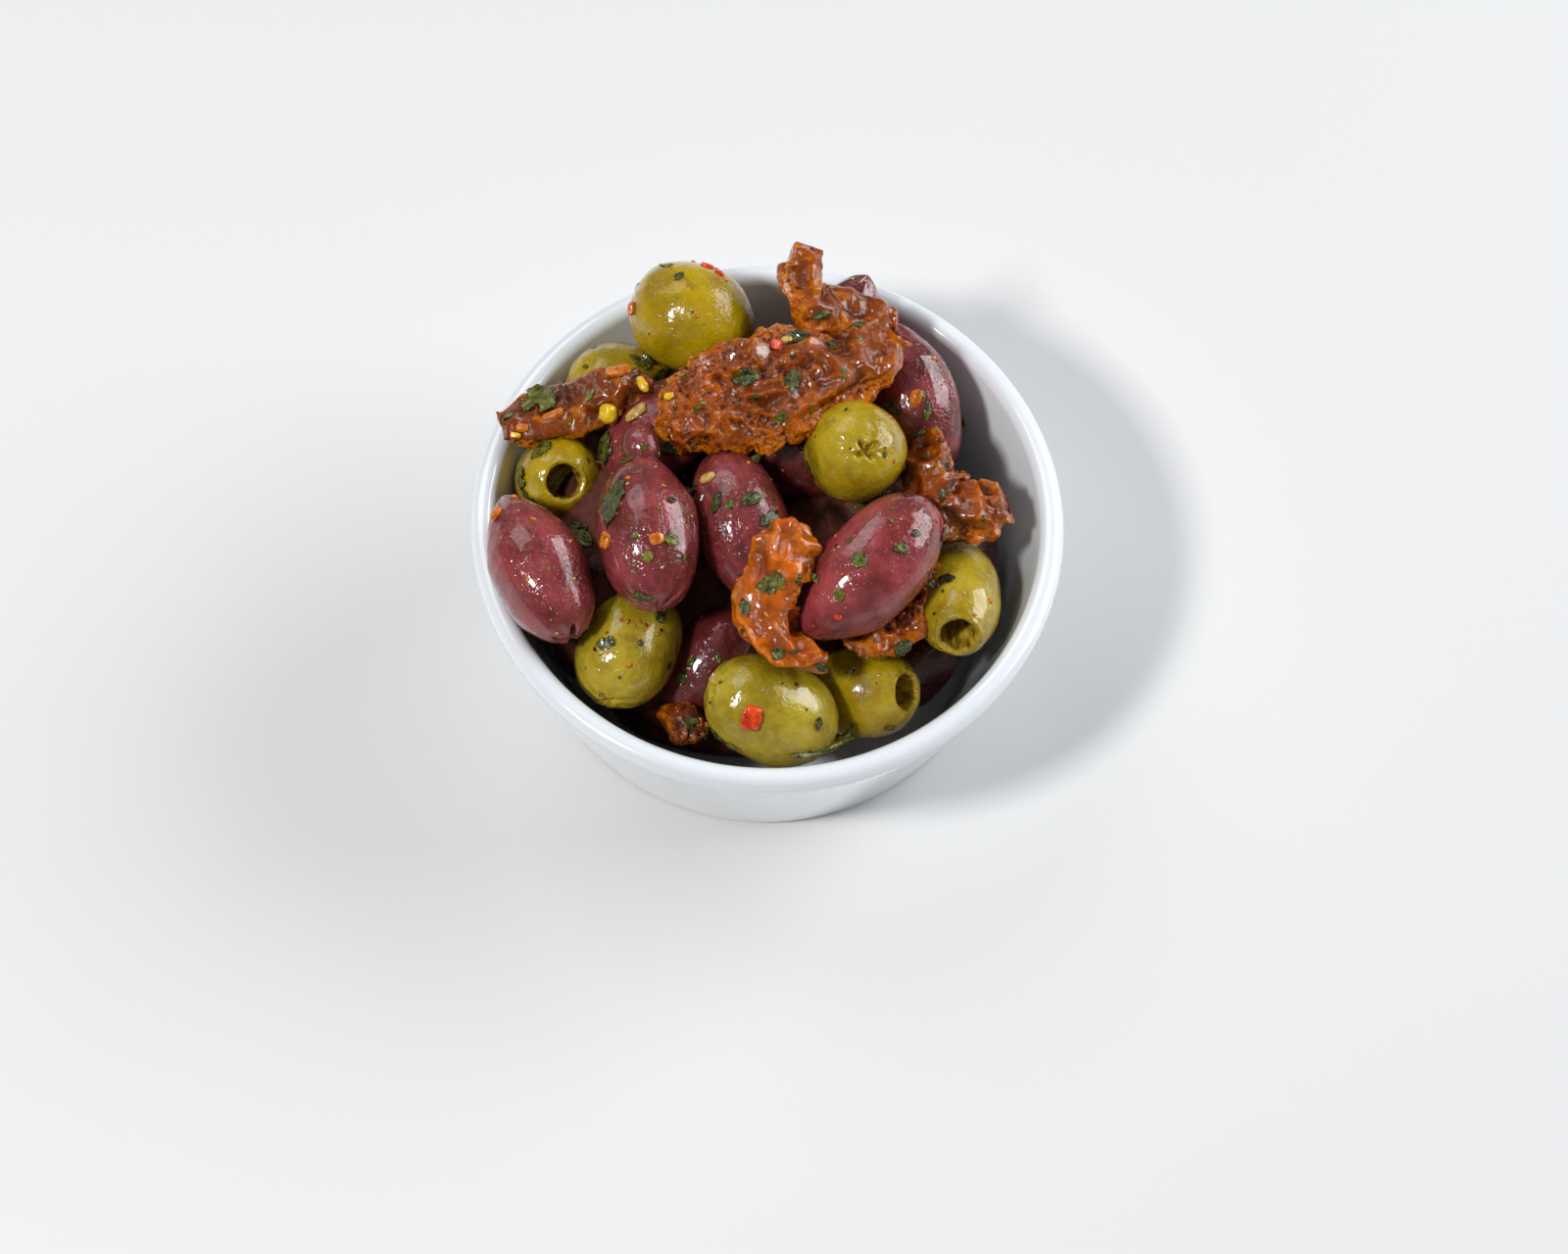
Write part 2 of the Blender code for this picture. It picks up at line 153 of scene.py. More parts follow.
# Tomatoes, each a row of stations: x, y, z, width, thickness, and the twist of its width
TOMATOES = {
    "tomato_fold": [
        (-18.2, 8.6, 52, 6, 4.6, 20), (-14.8, 13, 53.4, 15, 7.5, 20),
        (-8.4, 17.6, 54.8, 21, 9, 14), (0, 20.4, 55.6, 23, 9.5, 6),
        (8, 23.2, 56.2, 22, 9.5, 0), (14.4, 26.4, 56.2, 18, 8.5, -8),
        (18.6, 29.4, 55.6, 13, 6.5, -12), (21.6, 32.2, 55, 6, 3.6, -12),
    ],
    "tomato_tip": [
        (21.4, 38.4, 51.4, 5, 4, 0), (16.4, 38.6, 52.4, 9, 5.5, 0),
        (11.2, 37.6, 53.4, 11.5, 6.5, 10), (6.6, 37.4, 55, 13.5, 7.5, 30),
        (3.8, 40, 57.2, 12, 7.5, 60), (4, 43.6, 59.2, 9, 6.5, 60),
        (5, 46.6, 60.8, 6.6, 4.6, 60),
    ],
    "tomato_strip": [
        (-50, 13, 46, 7.5, 3.2, 0), (-45, 14.8, 46.8, 12, 4.4, 0),
        (-38.1, 17, 48.4, 12, 5, 8), (-32, 18.8, 50.2, 10, 5.2, 16),
        (-26.6, 20.6, 51.6, 8, 4.8, 20), (-23.4, 21.8, 52.4, 5, 3.4, 20),
    ],
    "tomato_lobes": [
        (28.6, 17, 45.6, 5, 4, 40), (29, 12.6, 46.4, 9.5, 6, 30),
        (29.4, 7, 47, 13, 7, 15), (32, 2.6, 47, 15, 7.5, 0),
        (37, 1.4, 46.2, 14, 7, -10), (41.4, 2.6, 45.2, 11, 5.5, -10),
        (44.4, 3.6, 44.4, 6.5, 3.8, -10),
    ],
    "tomato_twist": [
        (4.4, -8.8, 54.4, 7, 4.6, 0), (3.8, -13, 54.8, 12, 6, -10),
        (2, -18.6, 53.2, 11.5, 6.5, 10), (1, -24, 50.6, 12, 6.5, -5),
        (3.4, -28.6, 48.2, 11, 6, -20), (8, -30.4, 46.8, 8, 4.8, -20),
        (12, -30.8, 46, 4, 3.2, -20),
    ],
    "tomato_curl": [
        (14, -21, 40.6, 4, 3, 0), (18.4, -23.4, 40.6, 7, 4.2, 0),
        (24.4, -22, 40.8, 8.5, 4.8, 0), (28.8, -16.8, 41.8, 7.5, 4.6, 0),
        (30, -10.6, 42.8, 4, 3, 0),
    ],
    "tomato_scrap": [
        (-17.6, -35, 27, 4, 3, 0), (-13.4, -36.4, 28, 8.5, 6, 20),
        (-9.2, -37.6, 27.6, 4, 3, 30),
    ],
}
# How each tomato looks: grain of its flesh at its first and last station, hue there from brown to bright
# orange, depth of its crumpling, how far its torn edges wave, and the size of its wrinkles
TOMATO_LOOKS = {
    "tomato_fold": (1.1, -0.2, 0.42, 0.32, 1, 1.6, 3.4),
    "tomato_tip": (-0.2, 0.3, 0.2, 0.45, 0.8, 1.4, 3.8),
    "tomato_strip": (0.3, 0, -0.1, 0, 0.8, 1, 4.2),
    "tomato_lobes": (0.3, 0, -0.1, 0.6, 0.9, 1.6, 3.8),
    "tomato_twist": (0.3, -0.2, 0.95, 0.85, 0.8, 1.4, 4),
    "tomato_curl": (0.6, 0.6, 0.3, 0.5, 0.6, 0.8, 3.4),
    "tomato_scrap": (0.2, 0.2, -0.1, 0.1, 0.6, 0.6, 3.2),
}
TOMATO_STEPS = 25
# Above this height the relief is eased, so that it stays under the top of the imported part
EASED_TOP = 62.3
LOOK_ALONG = 0.05
# Relief of the tomatoes: long folds, crinkles and grain of the flesh
FOLD_SIZE = 7.0
FOLD_DEPTH = 1.9
CRINKLE_DEPTH = 0.8
FLESH_SIZE = 1.6
FLESH_DEPTH = 0.5
CREASES = 3
CREASE_SHARE = 0.16
CREASE_TURN = 1.2
WRINKLE_SIZE = 6.0
WRINKLE_SHARE = 0.12

# Leaves seen in the photograph: pixel, length, width, turn seen from the camera, kind, and how bright
LEAVES = [
    (693, 282, 2.2, 1.8, 60, "leaf", 0.2), (681, 272, 2.2, 0.9, 0, "leaf", 0.6),
    (816, 345, 4.4, 3.2, -30, "torn", 0.1), (761, 385, 5.3, 2.8, 10, "leaf", 0.3),
    (808, 390, 5, 2.6, 80, "leaf", 0.2), (796, 427, 2.6, 1.5, 10, "leaf", 0.8),
    (770, 405, 2, 1.5, 40, "torn", 0.3), (875, 330, 3, 1.9, 20, "leaf", 0.5),
    (838, 322, 3.2, 1.6, 20, "torn", 0.3), (911, 417, 4, 2.3, -30, "torn", 0.1),
    (946, 419, 3.8, 1.3, 85, "leaf", 0.3), (935, 443, 3.6, 1.1, 5, "blade", 0.2),
    (940, 405, 2.4, 1.6, 60, "torn", 0.6), (982, 430, 2.6, 1.4, 70, "leaf", 0.8),
    (681, 459, 4.2, 2, -20, "torn", 0), (700, 481, 4.4, 2.3, 30, "torn", 0.1),
    (827, 480, 4, 1.6, -60, "leaf", 0.1), (653, 370, 4.4, 2.4, -30, "torn", 0.4),
    (672, 387, 3.6, 2.4, 60, "torn", 0.5), (553, 406, 6, 4.2, -35, "torn", 0.6),
    (539, 412, 2.4, 2, 0, "torn", 1), (602, 405, 3.4, 0.9, 60, "blade", 0.9),
    (518, 427, 3, 2, 20, "leaf", 0.4), (552, 459, 4.6, 3.2, 60, "leaf", 0.5),
    (532, 488, 4.2, 3.4, 70, "torn", 0.5), (539, 507, 4.2, 1.6, -25, "torn", 0.1),
    (593, 546, 6, 3.2, -50, "torn", 0.8), (625, 511, 9.4, 4.8, 97, "leaf", 0.15),
    (618, 457, 6, 3.4, 100, "torn", 0.3), (640, 470, 2.8, 1.8, 20, "torn", 0.5),
    (685, 551, 2.9, 2.3, -30, "torn", 0.6), (660, 568, 2.3, 1.9, 20, "torn", 0.9),
    (655, 609, 4, 1.8, 0, "leaf", 0.4), (709, 501, 3.6, 1.6, 100, "leaf", 0.1),
    (731, 513, 4.3, 1.8, 75, "leaf", 0.1), (745, 515, 2.4, 1.4, 60, "torn", 0.3),
    (767, 509, 4, 2.6, 20, "torn", 0.2), (786, 530, 4.6, 2.8, 30, "torn", 0.1),
    (673, 627, 3.6, 2.2, 80, "torn", 0.1), (618, 657, 3.8, 2.2, 5, "torn", 0.5),
    (696, 692, 2.6, 2, 20, "torn", 0.5), (705, 676, 2, 1.4, 60, "torn", 0.3),
    (787, 596, 5, 3.4, -10, "leaf", 0.6), (760, 620, 3.4, 1.8, -70, "leaf", 0.4),
    (793, 668, 2.8, 2.2, 50, "leaf", 0.4), (812, 665, 1.6, 1.1, 20, "torn", 0.4),
    (877, 572, 3.2, 2.8, -40, "torn", 0.5), (919, 560, 2.8, 2, 10, "torn", 0.5),
    (857, 607, 2.2, 2, 80, "torn", 0.8), (890, 509, 6.6, 3, 20, "torn", 0.5),
    (966, 591, 3, 2.4, 0, "torn", 0), (955, 598, 1.8, 1.4, 50, "torn", 0.1),
    (963, 545, 3.6, 1.8, 15, "torn", 0.3), (835, 739, 2.4, 1.5, 80, "torn", 0.1),
    (838, 681, 3, 1.4, -30, "leaf", 0.1), (907, 742, 2, 1.4, 20, "torn", 0.3),
    (922, 662, 3.6, 2.6, 40, "torn", 0.1), (705, 738, 3, 1.6, 30, "torn", 0.4),
    (733, 752, 3.6, 2, 10, "torn", 0.4), (748, 762, 3.2, 1.6, -20, "torn", 0.7),
    (722, 747, 2.4, 1.4, 50, "torn", 0.5),
]
LEAF_THICKNESS = 0.14
FLECK_THICKNESS = 0.07
# Blades that slope down between the front olives: pixels and heights that each runs through, width and tint
BLADES = [
    ([(804, 771, 36.3), (826, 769, 34.7), (850, 762, 31), (874, 748, 27.4)], 1.5, 0.7),
    ([(838, 767, 32.7), (852, 758, 30.5), (866, 748, 28.8), (873, 738, 30.3)], 1.1, 0.6),
    ([(826, 766, 35.6), (844, 764, 32.3), (860, 756, 30.6), (876, 751, 26.8)], 0.8, 0.9),
]
# Solid bits seen in the photograph: pixel, length, width, thickness, turn, and how boxy
CHUNKS = {
    "yellow_seeds": [
        (622, 421, 3.9, 3.3, 2.6, 80, 0.1), (526, 444, 2.2, 1, 0.9, -10, 0.4),
        (656, 392, 3.4, 1.8, 1.2, -60, 0.2), (683, 404, 2, 1.3, 1, 20, 0.3),
    ],
    "orange_bits": [
        (565, 424, 4.4, 1.7, 1, 8, 0.9), (507, 525, 2.8, 1.8, 1.2, 80, 0.5),
        (619, 552, 3.2, 2.6, 1.2, 60, 0.6), (670, 550, 2.8, 2.2, 1, 10, 0.6),
        (935, 406, 3, 2.2, 0.9, 70, 0.5), (955, 579, 1.8, 1.2, 0.9, 20, 0.4),
        (646, 315, 2.8, 2, 1.4, 80, 0.3), (533, 437, 2.6, 1.6, 1.2, 0, 0.4),
        (632, 380, 5, 2.6, 1.4, 10, 0.5),
    ],
    "red_pepper_bits": [
        (767, 733, 4.5, 3.6, 1.5, 78, 0.8), (722, 272, 2.6, 1.6, 0.8, -25, 0.5),
        (734, 279, 1.8, 1.3, 0.7, -25, 0.5), (855, 630, 1.4, 1, 0.4, 0, 0.4),
        (792, 352, 3, 2.2, 0.9, 15, 0.5),
    ],
    "garlic_bits": [
        (650, 421, 4.6, 2.3, 1.1, 35, 0.5), (722, 488, 3.2, 1.8, 0.9, 10, 0.4),
        (803, 347, 2.4, 1.6, 0.9, 30, 0.5),
    ],
}
# Large drops of oil: pixel and radius
OIL_DROPS = [
    (648, 479, 1.1), (666, 475, 0.9), (672, 466, 1.3), (708, 578, 1.5), (745, 366, 1.8),
    (778, 360, 1.6), (714, 505, 1.3), (713, 530, 1.5), (716, 548, 1.2), (836, 320, 1.6),
    (797, 655, 1.3), (890, 510, 1.6), (800, 415, 1.8), (610, 415, 1.4), (560, 428, 1.3),
    (786, 560, 1.3), (800, 620, 1.2), (965, 470, 1.6), (985, 520, 1.4), (720, 370, 1.5),
    (540, 470, 1),
]
CHUNK_SUNK = 0.25
GRAIN_SUNK = 0.3
# Loose things: how many, how far out and from how high they are dropped, and the steepest place to lie
ORANGE_GRAINS = 70
PALE_GRAINS = 60
HERB_FLECKS = 90
FINE_DROPS = 420
DEEP_DROPS = 70
DROPPED_WITHIN = 48
DROPPED_FROM = 90
STEEPEST = 0.25
OIL_SHINE = 0.05

# Lights: the way to each, how far, its size in metres, power and colour
LIGHTS = {
    "window_left": ((-0.5, -0.34, 0.8), 1.1, (0.15, 0.15), 7.4, (1.0, 1.0, 1.0)),
    "window_right": ((0.8, 0.36, 0.46), 1.3, (1.1, 0.8), 16.5, (0.95, 0.97, 1.0)),
    "overhead": ((-0.42, 0.5, 0.76), 1.4, (0.8, 0.8), 4.2, (0.97, 0.98, 1.0)),
}
SKY = (0.92, 0.95, 1.0, 1.0)
SKY_STRENGTH = 0.2
FLOOR_REACH = 3.0
FLOOR_GREY = (0.72, 0.72, 0.715, 1.0)

# One seed for every random draw and for the shifts inside noise_vector, so that each run is the same
SEED = 7
rng = random.Random(SEED)
noise.seed_set(SEED)


# Shader maths


class Wire:
    """An output of a shader node. A sum or product with it adds a Math node."""

    def __init__(self, finish, output):
        self.finish = finish
        self.output = output

    def __add__(self, other):
        return self.finish.maths("ADD", self, other)

    def __radd__(self, other):
        return self.finish.maths("ADD", other, self)

    def __sub__(self, other):
        return self.finish.maths("SUBTRACT", self, other)

    def __rsub__(self, other):
        return self.finish.maths("SUBTRACT", other, self)

    def __mul__(self, other):
        return self.finish.maths("MULTIPLY", self, other)

    def __rmul__(self, other):
        return self.finish.maths("MULTIPLY", other, self)

    def __pow__(self, other):
        return self.finish.maths("POWER", self, other)


class Finish:
    """A material under construction, with the numbers that are the same all over it set at once."""

    def __init__(self, name, **fixed):
        self.material = bpy.data.materials.new(name)
        self.material.use_nodes = True
        self.tree = self.material.node_tree
        self.shader = self.tree.nodes["Principled BSDF"]
        for key, value in fixed.items():
            self.socket(key).default_value = value

    def socket(self, key):
        """The shader's own socket, named in lower case with underscores."""
        return self.shader.inputs[key.replace("_", " ").title().replace("Ior", "IOR")]

    def feed(self, socket, value):
        if isinstance(value, Wire):
            self.tree.links.new(value.output, socket)
        else:
            socket.default_value = value

    def add(self, kind, settings, values, out=0):
        """Any node: its settings first, then what goes into its sockets."""
        node = self.tree.nodes.new("ShaderNode" + kind)
        for key, value in settings.items():
            setattr(node, key, value)
        for key, value in values.items():
            self.feed(node.inputs[key], value)
        return Wire(self, node.outputs[out])

    def maths(self, operation, *values):
        return self.add("Math", {"operation": operation}, dict(enumerate(values)))

    def attribute(self, name, out="Fac"):
        return self.add("Attribute", {"attribute_name": name}, {}, out)

    def place(self):
        """Where a point is on the piece, in millimetres."""
        where = self.add("TexCoord", {}, {}, "Object")
        return self.add("VectorMath", {"operation": "SCALE"}, {0: where, "Scale": 1 / MM})

    def stretched(self, where, share):
        """A place for patterns that run along Z, longer the smaller the share."""
        return self.add("Mapping", {}, {"Vector": where, "Scale": (1, 1, share)})

    def dots(self, where, size, edge, full):
        """Round dots one to a cell, faint at the edge's share of its size and full inside the other."""
        return self.between(self.cells(where, size), edge, full)

    def cloud(self, where, size, detail=2.0, rough=0.5):
        """Soft noise from 0 to 1 whose lumps are about as wide as size in millimetres."""
        values = {"Vector": where, "Scale": 1 / size, "Detail": detail, "Roughness": rough}
        return self.add("TexNoise", {}, values)

    def patches(self, where, size, low, high, detail=2.0, rough=0.5, start=0.0, end=1.0):
        """Soft noise, its range low to high spread over start to end."""
        return self.between(self.cloud(where, size, detail, rough), low, high, start, end)

    def cells(self, where, size, feature="F1"):
        """How far a point is from the nearest of many scattered spots, or from the next nearest with F2."""
        return self.add("TexVoronoi", {"feature": feature}, {"Vector": where, "Scale": 1 / size}, "Distance")

    def between(self, value, low, high, start=0.0, end=1.0):
        """Value's range low to high, spread smoothly over start to end and held there."""
        values = {"Value": value, "From Min": low, "From Max": high, "To Min": start, "To Max": end}
        return self.add("MapRange", {"interpolation_type": "SMOOTHSTEP"}, values)

    def mix(self, share, first, second):
        """Two colours mixed, each a colour or a wire."""
        first, second = (one if isinstance(one, Wire) else (*one, 1.0) for one in (first, second))
        return self.add("Mix", {"data_type": "RGBA"}, {0: share, 6: first, 7: second}, 2)

    def layered(self, colour, *layers):
        """Colours painted one over another: the mask of each, how strongly it covers, and the colour."""
        for mask, strength, paint in layers:
            colour = self.mix(mask * strength, colour, paint)
        return colour

    def bump(self, height, distance=1.0, strength=0.9):
        """Relief whose height of 1 stands for distance in millimetres."""
        return self.add("Bump", {}, {"Height": height, "Distance": distance * MM, "Strength": strength})

    def paint(self, **surfaces):
        for key, value in surfaces.items():
            self.feed(self.socket(key), value)
        return self.material


# Making meshes


def smooth(value, low, high):
    """0 below low, 1 above high, and a soft step between."""
    share = max(0.0, min(1.0, (value - low) / (high - low)))
    return share * share * (3 - 2 * share)


def wobble(x, y, z):
    """Soft noise from -1 to 1 at a place."""
    return noise.noise(Vector((x, y, z)))


def start_mesh(*layers):
    """An empty mesh in millimetres with the float layers that its finish reads, and skin, its own place."""
    part = bmesh.new()
    for layer in layers:
        part.verts.layers.float.new(layer)
    part.verts.layers.float_vector.new("skin")
    return part


def gather(pile, part):
    """Adds a finished part to a pile of them."""
    mesh = bpy.data.meshes.new("part")
    bmesh.ops.recalc_face_normals(part, faces=part.faces)
    part.to_mesh(mesh)
    part.free()
    pile.from_mesh(mesh)
    bpy.data.meshes.remove(mesh)


def put_in_scene(name, data):
    thing = bpy.data.objects.new(name, data)
    bpy.context.scene.collection.objects.link(thing)
    return thing


def finish_piece(name, part, material, slot, replaced=()):
    """The mesh in millimetres becomes a piece in metres that rides with the bowl."""
    bmesh.ops.scale(part, vec=(MM, MM, MM), verts=part.verts)
    mesh = bpy.data.meshes.new(name)
    part.to_mesh(mesh)
    part.free()
    mesh.shade_smooth()
    mesh.materials.append(material)
    piece = put_in_scene(name, mesh)
    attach(piece, "root")
    if replaced:
        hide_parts(*replaced)
    return piece


def spun(part, verts, sides):
    """Spins a row of vertices that starts and ends on the axis about Z."""
    edges = [part.edges.new(pair) for pair in zip(verts, verts[1:])]
    bmesh.ops.spin(part, geom=verts + edges, axis=(0, 0, 1), cent=(0, 0, 0), angle=math.tau,
                   steps=sides, use_merge=True)
    bmesh.ops.remove_doubles(part, verts=part.verts, dist=TINY)
    bmesh.ops.recalc_face_normals(part, faces=part.faces)


def thickened(part, way):
    """Gives a sheet its second face, moved along a way, and its edges."""
    top = bmesh.ops.extrude_face_region(part, geom=part.faces[:])["geom"]
    raised = [one for one in top if isinstance(one, bmesh.types.BMVert)]
    bmesh.ops.translate(part, vec=way, verts=raised)
    return part


def heading(turn, pitch):
    """The turn that points +Z along a heading and a pitch in degrees."""
    return Matrix.Rotation(math.radians(turn), 4, "Z") @ Matrix.Rotation(math.radians(90 - pitch), 4, "Y")


# Bowl


def arc(centre, radius, start, end, steps):
    points = []
    for step in range(steps + 1):
        angle = math.radians(start + (end - start) * step / steps)
        points.append((centre[0] + radius * math.cos(angle), centre[1] + radius * math.sin(angle)))
    return points


def line(start, end, steps):
    """Points on the way from start to end, without the two."""
    shares = [step / steps for step in range(1, steps)]
    return [tuple(a + (b - a) * share for a, b in zip(start, end)) for share in shares]


def bowl_outline():
    """The bowl's section from the middle of its underside, round the rim, to the middle of its floor."""
    lean = math.atan2(RIM_RADIUS - FOOT_RADIUS, RIM_HEIGHT)
    tilt = math.degrees(lean)
    rim_centre = (RIM_RADIUS - RIM_ROUND, RIM_HEIGHT - RIM_ROUND)
    inner_foot = FOOT_RADIUS - WALL + FLOOR_THICKNESS * math.tan(lean)
    corner_centre = (inner_foot - FLOOR_CORNER + FLOOR_CORNER_OUT, FLOOR_THICKNESS + FLOOR_CORNER)
    ring_inside = FOOT_RADIUS - FOOT_RING_WIDTH
    outline = [(0.0, FOOT_RECESS), (ring_inside / 2, FOOT_RECESS)]
    outline += [(ring_inside - FOOT_RECESS, FOOT_RECESS), (ring_inside - 0.2, 0.15), (ring_inside, 0.0)]
    outline += arc((FOOT_RADIUS - FOOT_BEVEL, FOOT_BEVEL), FOOT_BEVEL, -90, -tilt, 6)
    top = arc(rim_centre, RIM_ROUND, -tilt, 180 - tilt, 24)
    corner = arc(corner_centre, FLOOR_CORNER, -tilt, -90, 14)
    outline += line(outline[-1], top[0], 12) + top + line(top[-1], corner[0], 10) + corner
    outline += [(corner[-1][0] * share, FLOOR_THICKNESS) for share in (0.75, 0.5, 0.25, 0.0)]
    return outline


def glaze():
    look = Finish("white_glaze", ior=1.5, coat_roughness=0.05, coat_ior=1.5)
    where = look.place()
    bare = look.between(look.add("SeparateXYZ", {}, {0: where}, "Z"), 0.6, 0.1)
    colour = look.layered(
        look.mix(look.cloud(where, 9.0, 3.0), (0.75, 0.785, 0.825), (0.8, 0.825, 0.85)),
        (look.dots(where, 6.0, 0.035, 0.02), 0.25, (0.35, 0.33, 0.3)),
        (bare, 1.0, (0.62, 0.58, 0.5)),
    )
    ripples = look.cloud(where, 12.0, 1.0)
    return look.paint(
        base_color=colour,
        roughness=look.between(bare, 0.0, 1.0, 0.16, 0.75),
        coat_weight=1.0 - bare,
        normal=look.bump(ripples, 0.12, 0.25),
    )


def make_bowl():
    part = bmesh.new()
    spun(part, [part.verts.new((radius, 0, height)) for radius, height in bowl_outline()], BOWL_SIDES)
    return finish_piece("bowl_glazed", part, glaze(), "glaze", ["bowl"])


# Olives


def green_width(along):
    """Share of a green olive's full width at a place from -1 to 1 along it."""
    return (1 - abs(along) ** END_FULLNESS) ** 0.5


def purple_width(along):
    """The same for a purple olive, whose end at 1 is pointed."""
    if along > 0:
        return (1 - along**POINT_FULLNESS) ** POINT_SLIMNESS
    return green_width(along)


def olive_outline(length, width, width_at, hole, rings):
    """Half an olive's outline from its closed end: radius, height, and 1 where it is inside the hole."""
    rows = []
    for ring in range(rings + 1):
        along = -math.cos(math.pi * ring / rings)
        radius = width / 2 * width_at(max(-1.0, min(1.0, along)))
        if hole and along > 0 and radius < hole + LIP:
            break
        rows.append((radius, along * length / 2, 0.0))
    if hole:
        top = rows[-1][1]
        for step in range(1, 7):
            angle = math.pi / 2 * step / 6
            rows.append((hole + LIP * math.cos(angle), top + 0.3 * LIP * math.sin(2 * angle), 0.1 * step))
        for step in range(1, 13):
            share = step / 12
            inner = hole * (1 - (1 - HOLE_TAPER) * share)
            rows.append((inner, top - HOLE_DEPTH * share, min(1.0, 0.6 + step / 4)))
        rows.append((hole * HOLE_TAPER * 0.6, top - HOLE_DEPTH - 0.8, 1.0))
        rows.append((0.0, top - HOLE_DEPTH - 1.1, 1.0))
    return rows


def slit_depth(x, y, turn, arm):
    """How deep two crossed cuts are at a place on the end, from 0 to 1, and the lip raised along them."""
    deepest = lip = 0.0
    for side in (0, 90):
        angle = math.radians(turn + side)
        along = x * math.cos(angle) + y * math.sin(angle)
        off = -x * math.sin(angle) + y * math.cos(angle)
        off += SLIT_WANDER * wobble(along, side, turn)
        reach = 1 - smooth(abs(along), 0.55 * arm, arm)
        deepest = max(deepest, reach * math.exp(-((off / SLIT_WIDTH) ** 2)))
        lip = max(lip, reach * math.exp(-(((abs(off) - SLIT_LIP_OUT) / SLIT_LIP_WIDTH) ** 2)))
    return deepest, lip


def olive_part(name, place, width_at, sides, rings, uneven, wrinkled):
    """One olive, lumpy, dented and cut as the real one, in its place."""
    x, y, z, length, width, turn, pitch, ripe = place
    seed = Vector([rng.uniform(-90, 90) for _ in range(3)])
    dents = [(rng.uniform(0, math.tau), rng.uniform(-0.7, 0.7), rng.uniform(0.15, 0.4), rng.uniform(2.0, 4.0))
             for _ in range(DENTS)]
    part = start_mesh("inside", "ripeness")
    inside, ripeness = part.verts.layers.float.values()
    skin = part.verts.layers.float_vector["skin"]
    verts = []
    for radius, height, depth in olive_outline(length, width, width_at, HOLES.get(name), rings):
        vert = part.verts.new((radius, 0, height))
        vert[inside] = depth
        verts.append(vert)
    spun(part, verts, sides)
    part.normal_update()
    bend = rng.uniform(-MOST_BENT, MOST_BENT)
    tilt = rng.uniform(0, math.tau)
    for vert in part.verts:
        spot = vert.co.copy()
        own = spot + seed
        along = spot.z / (length / 2)
        around = math.atan2(spot.y, spot.x)
        push = uneven * noise.noise(own / BROAD_LUMPS) + 0.16 * uneven * noise.noise(own / FINE_LUMPS)
        for angle, level, depth, reach in dents:
            centre = Vector((math.cos(angle), math.sin(angle), 0)) * (width / 2 * width_at(level))
            centre.z = level * length / 2
            push -= depth * math.exp(-(((spot - centre).length / reach) ** 2))
        ends = smooth(abs(along), 0.55, 0.95)
        pleats = 9 * around + 3 * noise.noise(own / 5)
        push += wrinkled * ends * END_WRINKLE * math.sin(pleats) * min(1.0, math.hypot(spot.x, spot.y) / 2)
        cut = 0.0
        if name in SLITS and along * SLITS[name][3] > 0.3:
            cross, arm, deep, end = SLITS[name]
            cut, lip = slit_depth(spot.x, spot.y, cross, arm)
            push += SLIT_LIP_HEIGHT * lip
        if not vert[inside]:
            vert.co += vert.normal * push
        else:
            rough = noise.noise(own / 1.3)
            vert.co += Vector((spot.x, spot.y, 0)) * (0.07 * rough)
        if cut:
            vert.co.z -= end * cut * deep
            vert[inside] = max(vert[inside], smooth(cut, 0.25, 0.9))
        vert.co.x += bend * math.cos(tilt) * (along * along - 0.4)
        vert.co.y += bend * math.sin(tilt) * (along * along - 0.4)
        vert[ripeness] = ripe
        vert[skin] = own
    bmesh.ops.transform(part, matrix=Matrix.Translation((x, y, z)) @ heading(turn, pitch), verts=part.verts)
    return part


def beads(look, own, size, patch, low, high):
    """Tiny round swellings in patches, which break a highlight into sparkles."""
    return look.dots(own, size, 0.45, 0.05) * look.patches(own, patch, low, high)


